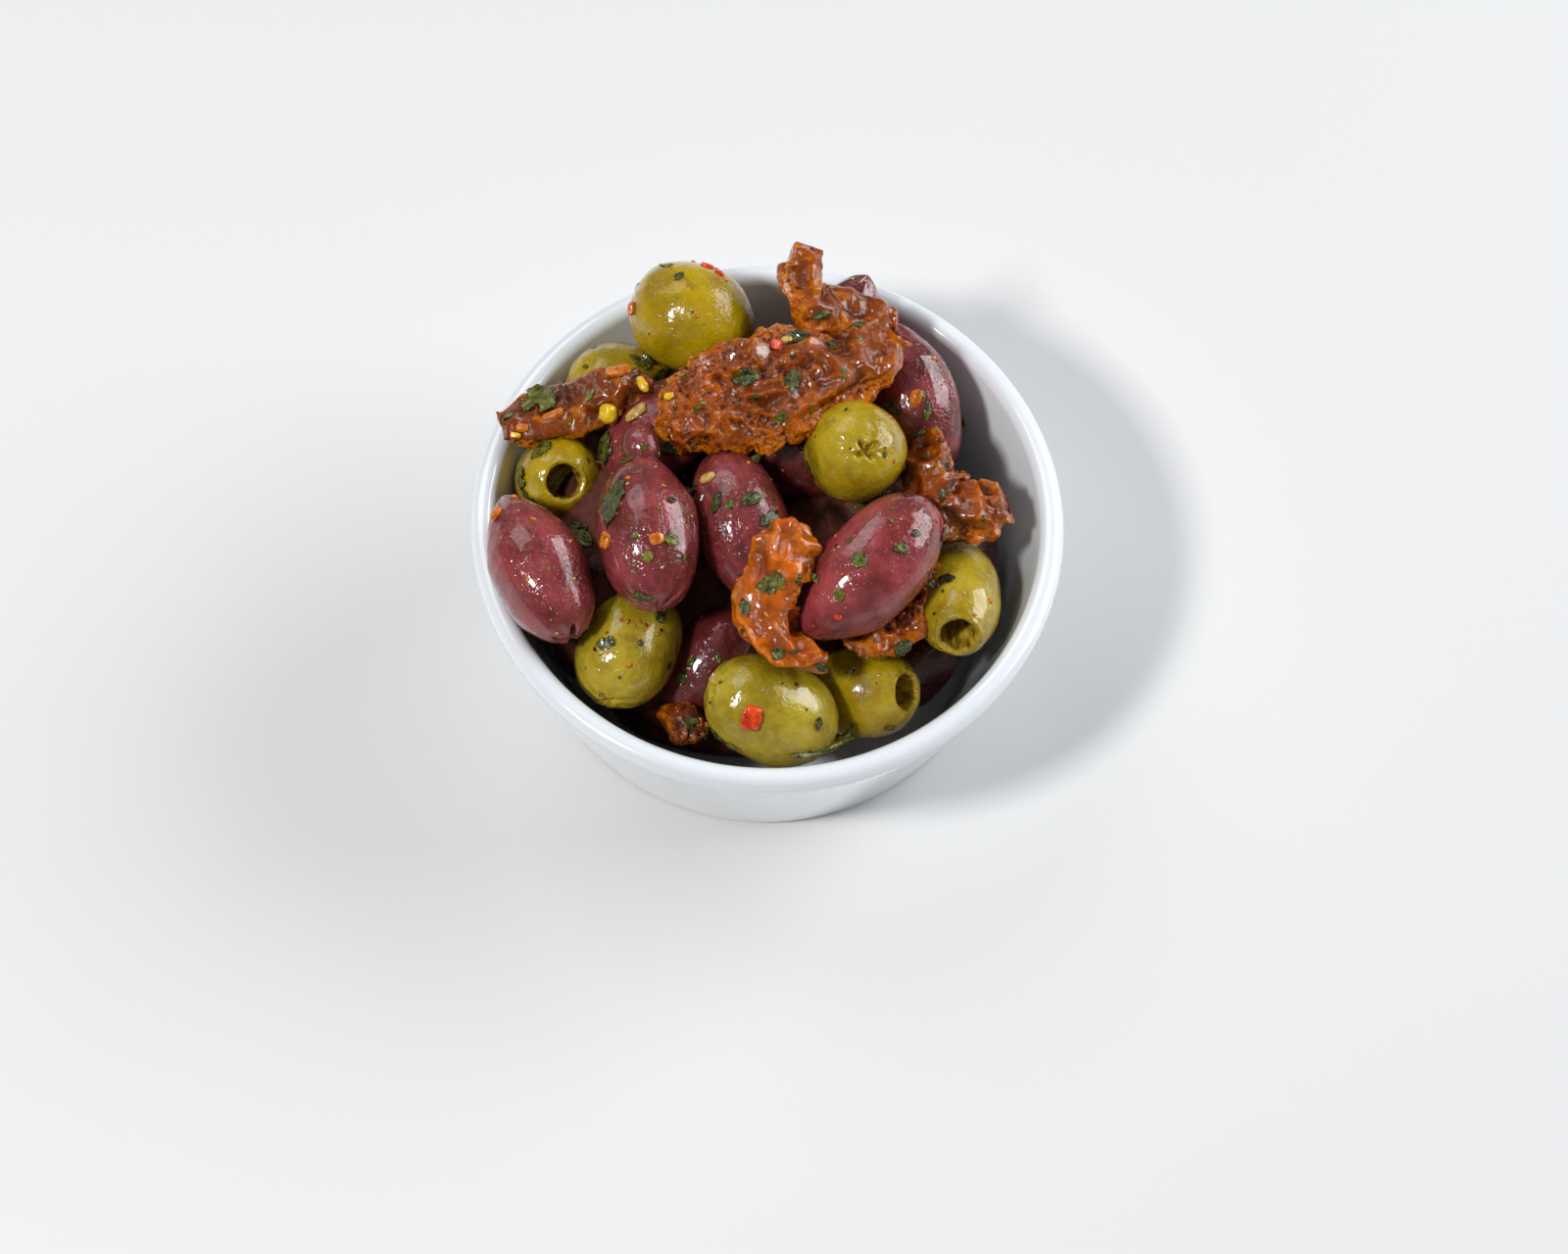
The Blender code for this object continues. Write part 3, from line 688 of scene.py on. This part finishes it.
def green_skin():
    look = Finish("green_olive_skin", ior=1.47, specular_ior_level=0.42, coat_roughness=0.03, coat_ior=1.46,
                  subsurface_weight=0.06, subsurface_scale=0.0012)
    own = look.attribute("skin", "Vector")
    inside = look.attribute("inside")
    broad = look.patches(own, 8.0, 0.3, 0.7, 4.0, 0.6)
    golden = look.mix(broad, (0.29, 0.175, 0.0004), (0.47, 0.31, 0.0008))
    khaki = look.mix(broad, (0.25, 0.175, 0.003), (0.46, 0.355, 0.026))
    pale_dots = look.dots(own, 1.2, 0.17, 0.08)
    brown_dots = look.dots(look.stretched(own, 0.8), 4.2, 0.085, 0.05)
    bruises = look.patches(own, 5.5, 0.6, 0.72, 4.0, 0.65)
    fibres = look.cloud(look.stretched(own, 0.25), 0.9, 3.0)
    flesh = look.mix(look.between(fibres, 0.3, 0.7), (0.14, 0.07, 0.003), (0.6, 0.4, 0.035))
    colour = look.layered(
        look.mix(look.attribute("ripeness"), golden, khaki),
        (look.patches(own, 1.4, 0.5, 0.75, 3.0), 0.35, (0.52, 0.38, 0.03)),
        (pale_dots, 0.45, (0.62, 0.5, 0.1)),
        (brown_dots, 0.85, (0.07, 0.03, 0.004)),
        (bruises, 0.5, (0.19, 0.085, 0.006)),
        (look.between(inside, 0.3, 0.8), 1.0, flesh),
    )
    height = look.cloud(own, 2.6, 1.0) * 0.22 + look.cloud(own, 0.8, 2.0) * 0.15
    height = height + beads(look, own, 0.62, 2.4, 0.44, 0.58) * 0.08
    return look.paint(
        base_color=colour,
        roughness=look.patches(own, 2.0, 0.35, 0.65, start=0.05, end=0.17),
        coat_weight=look.patches(own, 6.0, 0.4, 0.58, 3.0, start=0.15, end=0.9) * (1.0 - inside),
        normal=look.bump(height),
    )


def purple_skin():
    look = Finish("purple_olive_skin", ior=1.47, specular_ior_level=0.42, coat_roughness=0.02, coat_ior=1.46,
                  subsurface_weight=0.04, subsurface_scale=0.001)
    own = look.attribute("skin", "Vector")
    inside = look.attribute("inside")
    ripe = look.attribute("ripeness")
    broad = look.cloud(own, 7.0, 4.0, 0.6)
    streaks = look.cloud(look.stretched(own, 0.22), 1.3, 3.0)
    dark = look.mix(broad, (0.03, 0.0045, 0.0035), (0.085, 0.013, 0.01))
    rosy = look.mix(look.between(broad, 0.3, 0.7), (0.15, 0.017, 0.016), (0.35, 0.054, 0.06))
    bloom = look.patches(own, 4.5, 0.5, 0.75, 3.0)
    brown = look.patches(own, 5.0, 0.56, 0.7, 3.0, 0.6)
    colour = look.layered(
        look.mix(look.between(ripe + (streaks - 0.5) * 0.9, 0.0, 1.0), dark, rosy),
        (bloom, 0.22, (0.2, 0.055, 0.065)),
        (brown, 0.45, (0.1, 0.03, 0.008)),
        (look.dots(own, 1.0, 0.16, 0.07), 0.4, (0.45, 0.13, 0.09)),
        (look.between(inside, 0.3, 0.8), 1.0, look.mix(streaks, (0.03, 0.006, 0.004), (0.26, 0.06, 0.04))),
    )
    lines = look.cloud(look.stretched(own, 0.2), 0.7, 2.0)
    bumpy = look.patches(own, 6.5, 0.38, 0.58, start=0.25, end=1.0)
    height = look.cloud(own, 2.6, 1.0) * 0.24 + (look.cloud(own, 0.9, 2.0) * 0.3 + lines * 0.14) * bumpy
    height = height + beads(look, own, 0.7, 3.0, 0.36, 0.52) * 0.1
    return look.paint(
        base_color=colour,
        roughness=look.patches(own, 2.2, 0.35, 0.65, start=0.05, end=0.18),
        coat_weight=look.patches(own, 6.0, 0.38, 0.58, 3.0, start=0.4, end=1.0) * (1.0 - inside),
        normal=look.bump(height),
    )


def core_skin():
    look = Finish("heap_middle_with_painted_shade", ior=1.45, specular_ior_level=0.15)
    where = look.place()
    cloud = look.cloud(where, 6.0, 4.0)
    # Darker than the olives: partly the dark olives under the heap, partly painted shade for the deep gaps
    # between them
    colour = look.mix(look.between(cloud, 0.35, 0.65), (0.022, 0.008, 0.005), (0.11, 0.03, 0.018))
    bits = look.dots(where, 1.8, 0.22, 0.1)
    colour = look.mix(bits * 0.7, colour, (0.035, 0.04, 0.004))
    relief = look.cells(where, 7.0) * 2.0 + look.cloud(where, 1.5, 3.0) * 0.6
    return look.paint(
        base_color=colour,
        roughness=look.between(cloud, 0.3, 0.7, 0.25, 0.6),
        normal=look.bump(relief, strength=0.8),
    )


def make_olives():
    pile = start_mesh("inside", "ripeness")
    for name, place in GREEN_OLIVES.items():
        olive = olive_part(name, place, green_width, SKIN_SIDES, SKIN_RINGS, GREEN_UNEVEN, GREEN_WRINKLED)
        gather(pile, olive)
    pieces = [finish_piece("green_olives", pile, green_skin(), "olive_skin", ["olives"])]
    pile = start_mesh("inside", "ripeness")
    for name, place in PURPLE_OLIVES.items():
        deep = name.startswith("deep") or name == "centre_left_nub"
        sides, rings = (DEEP_SIDES, DEEP_RINGS) if deep else (SKIN_SIDES, SKIN_RINGS)
        uneven = NUB_UNEVEN if name == "centre_left_nub" else PURPLE_UNEVEN
        gather(pile, olive_part(name, place, purple_width, sides, rings, uneven, PURPLE_WRINKLED))
    pieces.append(finish_piece("purple_olives", pile, purple_skin(), "olive_skin", ["olives"]))
    return pieces


def core_part(row):
    part = bmesh.new()
    bmesh.ops.create_icosphere(part, subdivisions=4, radius=1.0)
    bmesh.ops.scale(part, vec=row[3:], verts=part.verts)
    bmesh.ops.translate(part, vec=row[:3], verts=part.verts)
    return part


def make_middle():
    """The dark middle under the olives: lumps joined into one skin."""
    skin = core_skin()
    middle, *others = [finish_piece("heap_middle", core_part(row), skin, "olive_skin") for row in CORE_LUMPS]
    group = bpy.data.collections.new("lumps")
    for lump in others:
        group.objects.link(lump)
    join = middle.modifiers.new("Join", "BOOLEAN")
    join.operation = "UNION"
    join.operand_type = "COLLECTION"
    join.collection = group
    join.solver = "MANIFOLD"
    apply_modifiers(middle)
    for lump in others:
        bpy.data.objects.remove(lump, do_unlink=True)
    bpy.data.collections.remove(group)
    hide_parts("olives")
    return middle


def apply_modifiers(piece):
    """Keeps what the modifiers make as the piece's own mesh."""
    graph = bpy.context.evaluated_depsgraph_get()
    mesh = bpy.data.meshes.new_from_object(piece.evaluated_get(graph))
    old = piece.data
    piece.modifiers.clear()
    piece.data = mesh
    mesh.name = piece.name
    bpy.data.meshes.remove(old)
    mesh.shade_smooth()


# Tomatoes


def smooth_station(stations, where):
    """A station read from a smooth curve through all of them, where counting from the first as 0."""
    index = min(int(where), len(stations) - 2)
    part = where - index
    around = [stations[max(0, min(len(stations) - 1, index + step))] for step in (-1, 0, 1, 2)]
    arrived = 3 * part**2 - 2 * part**3
    leaving, arriving = part**3 - 2 * part**2 + part, part**3 - part**2
    return [
        start + (end - start) * arrived + (end - before) / 2 * leaving + (after - start) / 2 * arriving
        for before, start, end, after in zip(*around)
    ]


def ridges(spot, size):
    """Sharp ridges with hollows between: 1 on the ridges and 0 in the hollows."""
    return max(0.0, 1 - 2.4 * abs(noise.noise(spot / size)))


def way_along(stations, where, reach):
    """The way that the smooth curve runs past a place on it."""
    ahead = smooth_station(stations, min(where + reach, len(stations) - 1))
    behind = smooth_station(stations, max(where - reach, 0))
    return Vector(ahead[:3]) - Vector(behind[:3])


def section_frame(stations, where):
    """Where a strip's section is, how wide and thick, and the ways that it faces."""
    x, y, z, width, thickness, twist = smooth_station(stations, where)
    forward = way_along(stations, where, LOOK_ALONG).normalized()
    side = forward.cross(Vector((0, 0, 1))).normalized()
    side = Matrix.Rotation(math.radians(twist), 3, forward) @ side
    return Vector((x, y, z)), width, thickness, side, side.cross(forward).normalized()


def tomato_part(name, stations):
    """A crumpled strip in its place: oval sections with torn frilled edges, creases, folds and grain."""
    first_grain, last_grain, first_hue, last_hue, depth, frill, facet = TOMATO_LOOKS[name]
    part = start_mesh("ridge", "edge", "hue", "grain")
    heights, edges, hues, grains = part.verts.layers.float.values()
    own = part.verts.layers.float_vector["skin"]
    widest = max(station[3] for station in stations)
    sides = 2 * int(2.4 * widest) + 70
    rings = []
    count = (len(stations) - 1) * TOMATO_STEPS
    for step in range(count + 1):
        where = step / TOMATO_STEPS
        share = step / count
        centre, width, thickness, side, up = section_frame(stations, where)
        ring = []
        for corner in range(sides):
            angle = math.tau * corner / sides
            across, rise = math.cos(angle), math.sin(angle)
            crease = 1 - CREASE_SHARE * (0.5 + 0.5 * math.cos(CREASES * angle + CREASE_TURN * where))
            brink = abs(across) ** 8
            side_of = 1 if across > 0 else 2
            torn = wobble(where * 1.7, side_of, 3)
            torn += 0.6 * wobble(where * 5, side_of, 8)
            offset = side * (width / 2 * across * (1 + 0.1 * brink * torn)) + up * (thickness / 2 * rise)
            offset *= crease
            wave = wobble(where * 1.9, side_of, 21)
            point = centre + offset * (1 + WRINKLE_SHARE * noise.noise((centre + offset) / WRINKLE_SIZE))
            point += up * (frill * brink * wave)
            vert = part.verts.new(point)
            vert[edges] = brink
            vert[hues] = first_hue + (last_hue - first_hue) * share
            vert[grains] = first_grain + (last_grain - first_grain) * share
            vert[own] = Vector((where * 6.5, width / 2.5 * across, width / 2.5 * rise))
            ring.append(vert)
        rings.append([part.edges.new(pair) for pair in zip(ring, ring[1:] + ring[:1])])
    for ring, following in zip(rings, rings[1:]):
        bmesh.ops.bridge_loops(part, edges=ring + following)
    ends = bmesh.ops.holes_fill(part, edges=part.edges)["faces"]
    bmesh.ops.poke(part, faces=ends)
    bmesh.ops.recalc_face_normals(part, faces=part.faces)
    part.normal_update()
    start = Vector(stations[0][:3])
    for vert in part.verts:
        spot = vert.co.copy()
        grain = smooth(vert[grains] + 1.1 * noise.noise(spot / 6 + Vector((9, 2, 4))), 0.2, 0.8)
        lie = vert[own]
        lengthwise = Vector((lie.x * 0.75, lie.y, lie.z)) + start
        lengthwise += 1.8 * noise.noise_vector(lengthwise / 5)
        warped = spot + 0.9 * noise.noise_vector(spot / 2.5)
        fold = ridges(lengthwise, FOLD_SIZE)
        crinkle = ridges(warped + Vector((31, 7, 5)), facet)
        crinkle *= 0.35 + 0.65 * smooth(noise.noise(spot / 3.5 + Vector((2, 8, 5))), -0.35, 0.3)
        flesh = ridges(spot + 0.5 * noise.noise_vector(spot), FLESH_SIZE)
        push = depth * (FOLD_DEPTH * (fold - 0.5) + (CRINKLE_DEPTH + 0.3 * grain) * (crinkle - 0.35))
        push += FLESH_DEPTH * grain * (flesh - 0.5)
        vert.co += vert.normal * push
        if vert.co.z > EASED_TOP:
            vert.co.z = EASED_TOP + 1 - math.exp(EASED_TOP - vert.co.z)
        # How high each place stands in the relief, kept in the ridge layer: the finish paints the hollows
        # darker as painted shade and the ridges lighter as painted light
        rough_height = 0.2 + 0.2 * fold + 0.35 * crinkle + 0.3 * flesh
        smooth_height = 0.28 + 0.35 * fold + 0.45 * crinkle**2
        height = grain * rough_height + (1 - grain) * smooth_height
        vert[heights] = max(0.0, min(1.0, height))
        vert[grains] = grain
    return part


def tomato_flesh():
    look = Finish("dried_tomato", ior=1.47, specular_ior_level=0.27, coat_roughness=0.025, coat_ior=1.44,
                  subsurface_weight=0.08, subsurface_scale=0.0012)
    where = look.place()
    ridge, edge, hue, grain = (look.attribute(name) for name in ("ridge", "edge", "hue", "grain"))
    fine = look.cloud(where, 0.8, 3.0)
    # Height in the relief: the colours below are darker in the hollows, painted shade, and brighter on the
    # ridges, painted light
    height = look.between(ridge + (fine - 0.5) * (0.3 + grain * 0.5), 0.2, 0.8)
    brown = look.mix(height, (0.035, 0.003, 0.0002), (0.235, 0.041, 0.0002))
    orange = look.mix(height, (0.13, 0.011, 0.0002), (0.56, 0.115, 0.0002))
    colour = look.layered(
        look.mix(look.between(hue + (look.cloud(where, 5.0, 3.0) - 0.5) * 1.1, 0.1, 0.9), brown, orange),
        # Bright orange in patches, only on the high places, as painted light on the ridges
        (look.patches(where, 2.6, 0.54, 0.66, 3.0) * height, 0.6, (0.58, 0.19, 0.001)),
        (edge * look.between(fine, 0.35, 0.6), 0.6, (0.8, 0.23, 0.003)),
        (look.patches(where, 3.6, 0.46, 0.6) * (1.0 - grain), 0.45, (0.24, 0.052, 0.006)),
        (look.dots(where, 1.6, 0.16, 0.06) * grain, 0.5, (0.05, 0.006, 0.001)),
    )
    wet = look.patches(where, 4.0, 0.4, 0.6, start=0.2, end=0.9)
    return look.paint(
        base_color=colour,
        roughness=look.patches(where, 2.0, 0.35, 0.65, start=0.05, end=0.15),
        coat_weight=wet * look.between(height, 0.0, 0.5, 0.2, 1.0),
        normal=look.bump(fine * 0.26 + look.cells(where, 0.6) * (grain * 0.16 + 0.04)),
    )


def make_tomatoes():
    material = tomato_flesh()
    pieces = []
    for name, stations in TOMATOES.items():
        replaced = [name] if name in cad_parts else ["olives"]
        pile = start_mesh("ridge", "edge", "hue", "grain")
        gather(pile, tomato_part(name, stations))
        pieces.append(finish_piece(name + "_torn", pile, material, "tomato", replaced))
    return pieces


# Herbs, seeds and oil


def surface_of(pieces):
    """The skin of several pieces together, in millimetres, for things to lie on."""
    verts, faces = [], []
    for piece in pieces:
        first = len(verts)
        verts += [vert.co / MM for vert in piece.data.vertices]
        faces += [[first + index for index in polygon.vertices] for polygon in piece.data.polygons]
    return BVHTree.FromPolygons(verts, faces)


def spot_under(surface, view, u, v):
    """Where a pixel of the photograph falls on the food, and the way that the food faces there."""
    eye, way = sight(view, u, v)
    spot, facing, _, _ = surface.ray_cast(eye / MM, way)
    return spot, facing


def lying_frame(view, facing, turn):
    """Forward and across directions on a surface, forward at a turn seen from the camera."""
    angle = math.radians(turn)
    forward = view.to_3x3() @ Vector((math.cos(angle), math.sin(angle), 0))
    across = facing.cross(forward).normalized()
    return across.cross(facing), across


def resting(surface, point, facing, reach=2.4):
    """The height over a tangent plane at which something lies on the surface, or None over a gap."""
    hit = surface.ray_cast(point + facing * reach, -facing, 2 * reach)[0]
    return None if hit is None else (hit - point).dot(facing)


def leaf_outline(kind, x, seed):
    """Half a leaf's width, as a share of its fullest, at a place from -1 to 1 along it."""
    ripple = wobble(x * 3.1, seed, 0)
    if kind == "blade":
        return (1 - abs(x) ** 4) ** 0.5
    if kind == "torn":
        return (1 - 0.8 * abs(x) ** 3) * (1 + 0.7 * ripple)
    teeth = 0.12 * math.sin(x * 13 + seed)
    return (1 - x * x) ** 0.8 * (1 + 0.3 * ripple + teeth) + 0.05


def leaf_part(surface, spot, facing, frame_of, size, kind, tint, seed, thickness=LEAF_THICKNESS):
    """A wet flake of leaf that follows what it lies on, with a ragged outline, curled edges and a rib."""
    forward, across = frame_of
    length, width = size
    part = start_mesh("tint", "rib")
    tints, ribs = part.verts.layers.float.values()
    columns = max(4, min(26, int(length * 3.0)))
    rows = max(3, min(16, int(width * 3.0)))
    bmesh.ops.create_grid(part, x_segments=columns, y_segments=rows, size=1.0)
    lift = wobble(seed, 1, 1)
    for vert in part.verts:
        x, y = vert.co.x, vert.co.y
        side = 1 if y > 0 else -1
        ragged = 1 + 0.35 * wobble(y * 2.2, seed + 5, side + x)
        spread = leaf_outline(kind, x, seed + side)
        flat = spot + forward * (x * length / 2 * ragged) + across * (y * width / 2 * spread)
        height = resting(surface, flat, facing)
        height = max(-1.1, min(1.1, -0.9 if height is None else height))
        ripple = wobble(flat.x * 0.9, flat.y * 0.9, seed)
        curl = 0.08 + 0.35 * width * max(0.0, lift * side) * y * y + 0.5 * abs(ripple) * min(1.0, width / 2)
        vert.co = flat + facing * (height + curl)
        vert[tints] = tint
        vert[ribs] = max(0.0, 1 - abs(y) * 5)
    return thickened(part, facing * thickness)


def blade_part(view, pixels, width, tint, seed):
    """A narrow blade through several pixels of the photograph, each at its height."""
    spots = []
    for u, v, level in pixels:
        eye, way = sight(view, u, v)
        spots.append(eye / MM + way * ((level - eye.z / MM) / way.z))
    part = start_mesh("tint", "rib")
    tints, ribs = part.verts.layers.float.values()
    bmesh.ops.create_grid(part, x_segments=26, y_segments=5, size=1.0)
    for vert in part.verts:
        x, y = vert.co.x, vert.co.y
        where = (x + 1) / 2 * (len(spots) - 1)
        centre = Vector(smooth_station(spots, where))
        across = way_along(spots, where, 0.1).cross(Vector((0, 0, 1))).normalized()
        spread = width / 2 * (1 - abs(x) ** 2.5) * (1 + 0.3 * wobble(x * 3, seed, 0)) + 0.06
        drop = 0.25 * y * y + 0.2 * wobble(x * 2, seed, 4)
        vert.co = centre + across * (y * spread) - Vector((0, 0, drop))
        vert[tints] = tint
        vert[ribs] = max(0.0, 1 - abs(y) * 3)
    return thickened(part, (0, 0, LEAF_THICKNESS))


def chunk_part(spot, facing, frame_of, size, boxy, sink, seed, finely=3):
    """A small solid bit: a ball pulled towards a box, lumpy, pressed into what it lies on."""
    forward, across = frame_of
    length, width, thick = size
    part = bmesh.new()
    bmesh.ops.create_icosphere(part, subdivisions=finely, radius=1.0)
    for vert in part.verts:
        unit = vert.co.copy()
        pulled = Vector([math.copysign(abs(value) ** (1 - 0.55 * boxy), value) for value in unit])
        pulled *= 1 + 0.22 * noise.noise(unit * 1.7 + Vector((seed, 0, 0)))
        high = pulled.z * thick / 2 + thick * (0.5 - sink)
        vert.co = spot + forward * (pulled.x * length / 2) + across * (pulled.y * width / 2) + facing * high
    return part


def herb_leaf():
    look = Finish("wet_herb_leaf", ior=1.45, specular_ior_level=0.4, coat_weight=0.6, coat_roughness=0.02,
                  coat_ior=1.45, subsurface_weight=0.1, subsurface_scale=0.0008)
    where = look.place()
    broad = look.patches(where, 1.4, 0.3, 0.7, 3.0)
    dark = look.mix(broad, (0.004, 0.006, 0.0004), (0.045, 0.055, 0.0008))
    bright = look.mix(broad, (0.025, 0.03, 0.0005), (0.24, 0.235, 0.004))
    green = look.mix(look.attribute("tint"), dark, bright)
    veins = look.cells(where, 0.8, "F2") - look.cells(where, 0.8)
    return look.paint(
        base_color=look.layered(green, (look.attribute("rib"), 0.4, (0.12, 0.14, 0.02))),
        roughness=look.between(broad, 0.3, 0.7, 0.08, 0.24),
        normal=look.bump(look.cloud(where, 0.7, 2.0) * 0.45 + look.between(veins, 0.0, 0.3) * 0.08, 1.0, 1.0),
    )


def bit_finish(name, first, second, size=1.2):
    look = Finish(name, ior=1.47, coat_weight=0.6, coat_roughness=0.03,
                  subsurface_weight=0.1, subsurface_scale=0.001)
    where = look.place()
    broad = look.cloud(where, size, 3.0)
    return look.paint(
        base_color=look.mix(look.between(broad, 0.3, 0.7), first, second),
        roughness=look.between(broad, 0.3, 0.7, 0.12, 0.3),
        normal=look.bump(look.cloud(where, 0.8, 2.0), 0.3, 0.8),
    )


def make_leaves(surface, view):
    pile = start_mesh("tint", "rib")
    for number, (u, v, length, width, turn, kind, tint) in enumerate(LEAVES):
        spot, facing = spot_under(surface, view, u, v)
        around = lying_frame(view, facing, turn)
        gather(pile, leaf_part(surface, spot, facing, around, (length, width), kind, tint, number * 3.7))
    for number, (pixels, width, tint) in enumerate(BLADES):
        gather(pile, blade_part(view, pixels, width, tint, number * 5.1))
    return finish_piece("herb_leaves", pile, herb_leaf(), "olive_skin")


def make_chunks(surface, food_surface, view):
    """Solid bits that the photograph shows one by one: seeds, pepper and orange flesh."""
    finishes = {
        "yellow_seeds": bit_finish("yellow_seed", (0.7, 0.36, 0.003), (0.9, 0.62, 0.015), 2.0),
        "orange_bits": bit_finish("orange_flesh", (0.4, 0.07, 0.002), (0.68, 0.21, 0.006)),
        "red_pepper_bits": bit_finish("red_pepper", (0.45, 0.012, 0.002), (0.85, 0.075, 0.004)),
        "garlic_bits": bit_finish("oily_garlic", (0.4, 0.22, 0.03), (0.62, 0.42, 0.12)),
    }
    seed = 0
    for name, rows in CHUNKS.items():
        pile = bmesh.new()
        for u, v, length, width, thick, turn, boxy in rows:
            spot, facing = spot_under(surface, view, u, v)
            around = lying_frame(view, facing, turn)
            size = (length, width, thick)
            gather(pile, chunk_part(spot, facing, around, size, boxy, CHUNK_SUNK, seed * 2.9))
            seed += 1
        if name == "orange_bits":
            scatter(pile, food_surface, view, ORANGE_GRAINS, 0.3, 0.9)
        if name == "garlic_bits":
            scatter(pile, food_surface, view, PALE_GRAINS, 0.25, 0.6)
        finish_piece(name, pile, finishes[name], "tomato" if "garlic" not in name else "olive_skin")


def landings(surface, count, lowest=24.0, highest=99.0):
    """Where things dropped at random come to lie, without those that miss, slide off or land out of range."""
    landed = 0
    while landed < count:
        x, y = rng.uniform(-DROPPED_WITHIN, DROPPED_WITHIN), rng.uniform(-DROPPED_WITHIN, DROPPED_WITHIN)
        spot, facing, _, _ = surface.ray_cast(Vector((x, y, DROPPED_FROM)), Vector((0, 0, -1)))
        if spot is not None and lowest < spot.z < highest and facing.z >= STEEPEST:
            landed += 1
            yield spot, facing


def scatter(pile, surface, view, count, smallest, largest):
    """Loose grains dropped on the food at random."""
    for spot, facing in landings(surface, count):
        around = lying_frame(view, facing, rng.uniform(0, 360))
        size = rng.uniform(smallest, largest)
        shape = (size * rng.uniform(0.9, 1.7), size, size * 0.6)
        gather(pile, chunk_part(spot, facing, around, shape, 0.6, GRAIN_SUNK, rng.uniform(0, 99), 1))


def make_flecks(surface, view):
    """Crumbled herb too small to place one by one."""
    pile = start_mesh("tint", "rib")
    for spot, facing in landings(surface, HERB_FLECKS):
        size = rng.uniform(0.3, 0.7) + 0.8 * rng.random() ** 3
        around = lying_frame(view, facing, rng.uniform(0, 360))
        shape = (size * rng.uniform(1.0, 2.0), size)
        tint, seed = rng.random(), rng.uniform(0, 99)
        gather(pile, leaf_part(surface, spot, facing, around, shape, "torn", tint, seed, FLECK_THICKNESS))
    finish_piece("herb_flecks", pile, herb_leaf(), "olive_skin")


def oil():
    """A clear film: what lies under it shows through, and it reflects as oil does."""
    look = Finish("olive_oil", metallic=1.0)
    where = look.place()
    ripples = look.bump(look.cloud(where, 1.0, 2.0), 0.12, 0.8)
    mirror = look.paint(
        base_color=look.mix(look.cloud(where, 2.0), (0.94, 0.95, 0.97), (1.0, 1.0, 1.0)),
        roughness=look.patches(where, 1.5, 0.3, 0.7, start=0.01, end=0.08),
        normal=ripples,
    )
    clear = look.add("BsdfTransparent", {}, {"Color": (0.995, 0.985, 0.93, 1.0)})
    facing = look.add("LayerWeight", {}, {"Blend": 0.5, "Normal": ripples}, "Facing")
    share = facing**5 * 0.9 + OIL_SHINE
    both = look.add("MixShader", {}, {0: share, 1: clear, 2: Wire(look, look.shader.outputs["BSDF"])})
    look.tree.links.new(both.output, look.tree.nodes["Material Output"].inputs["Surface"])
    return mirror


def make_oil(surface, food_surface, view):
    """Drops of oil that stand on the skins."""
    pile = bmesh.new()
    drops = [(spot_under(surface, view, u, v), radius) for u, v, radius in OIL_DROPS]
    drops += [(lying, 0.13 + 0.7 * rng.random() ** 4) for lying in landings(food_surface, FINE_DROPS)]
    drops += [(lying, rng.uniform(0.3, 1.1)) for lying in landings(surface, DEEP_DROPS, 5.0, 30.0)]
    for number, ((spot, facing), radius) in enumerate(drops):
        around = lying_frame(view, facing, rng.uniform(0, 360))
        size = (2 * radius * rng.uniform(1.0, 1.6), 2 * radius, min(0.7, 0.8 * radius))
        gather(pile, chunk_part(spot, facing, around, size, 0.0, 0.5, number * 1.3, 3 if radius > 0.8 else 2))
    finish_piece("oil_drops", pile, oil(), "olive_skin")


# Scene


def make_camera():
    """The photograph's camera, which looks down at the heap from the front."""
    lift = math.radians(CAMERA_ELEVATION)
    target = Vector(CAMERA_TARGET)
    eye = target + Vector((0, -math.cos(lift), math.sin(lift))) * CAMERA_DISTANCE
    turn = (target - eye).to_track_quat("-Z", "Y").to_matrix().to_4x4()
    data = bpy.data.cameras.new("camera")
    data.sensor_width = SENSOR
    data.lens = FOCAL_PIXELS / PHOTO_WIDTH * SENSOR
    data.clip_start = 0.01
    camera = put_in_scene("camera", data)
    camera.matrix_world = Matrix.Translation(eye) @ turn @ Matrix.Rotation(math.radians(CAMERA_ROLL), 4, "Z")
    bpy.context.scene.camera = camera
    return camera.matrix_world.copy()


def sight(view, u, v):
    """The camera's place, and the way it looks through a pixel of the photograph."""
    local = Vector(((u - PHOTO_WIDTH / 2) / FOCAL_PIXELS, (PHOTO_HEIGHT / 2 - v) / FOCAL_PIXELS, -1))
    return view.translation, (view.to_3x3() @ local).normalized()


def soft_light(name, direction, distance, size, power, colour):
    data = bpy.data.lights.new(name, "AREA")
    data.shape = "RECTANGLE"
    data.size, data.size_y = size
    data.energy = power
    data.color = colour
    light = put_in_scene(name, data)
    away = Vector(direction).normalized()
    light.location = away * distance
    light.rotation_euler = away.to_track_quat("Z", "Y").to_euler()


def make_studio():
    floor_mesh = bmesh.new()
    bmesh.ops.create_grid(floor_mesh, x_segments=1, y_segments=1, size=FLOOR_REACH)
    mesh = bpy.data.meshes.new("floor")
    floor_mesh.to_mesh(mesh)
    floor_mesh.free()
    look = Finish("pale_floor", roughness=0.7)
    mesh.materials.append(look.paint(base_color=FLOOR_GREY))
    floor = put_in_scene("floor", mesh)
    for name, light in LIGHTS.items():
        soft_light(name, *light)
    world = bpy.data.worlds.new("studio")
    world.use_nodes = True
    sky = world.node_tree.nodes["Background"]
    sky.inputs["Color"].default_value = SKY
    sky.inputs["Strength"].default_value = SKY_STRENGTH
    bpy.context.scene.world = world
    bpy.context.scene.view_settings.view_transform = "Standard"


view = make_camera()
make_studio()
bowl = make_bowl()
food = [*make_olives(), *make_tomatoes()]
below = surface_of([bowl, make_middle(), *food])
on_food = surface_of(food)
make_leaves(below, view)
make_chunks(below, on_food, view)
make_flecks(on_food, view)
make_oil(below, on_food, view)
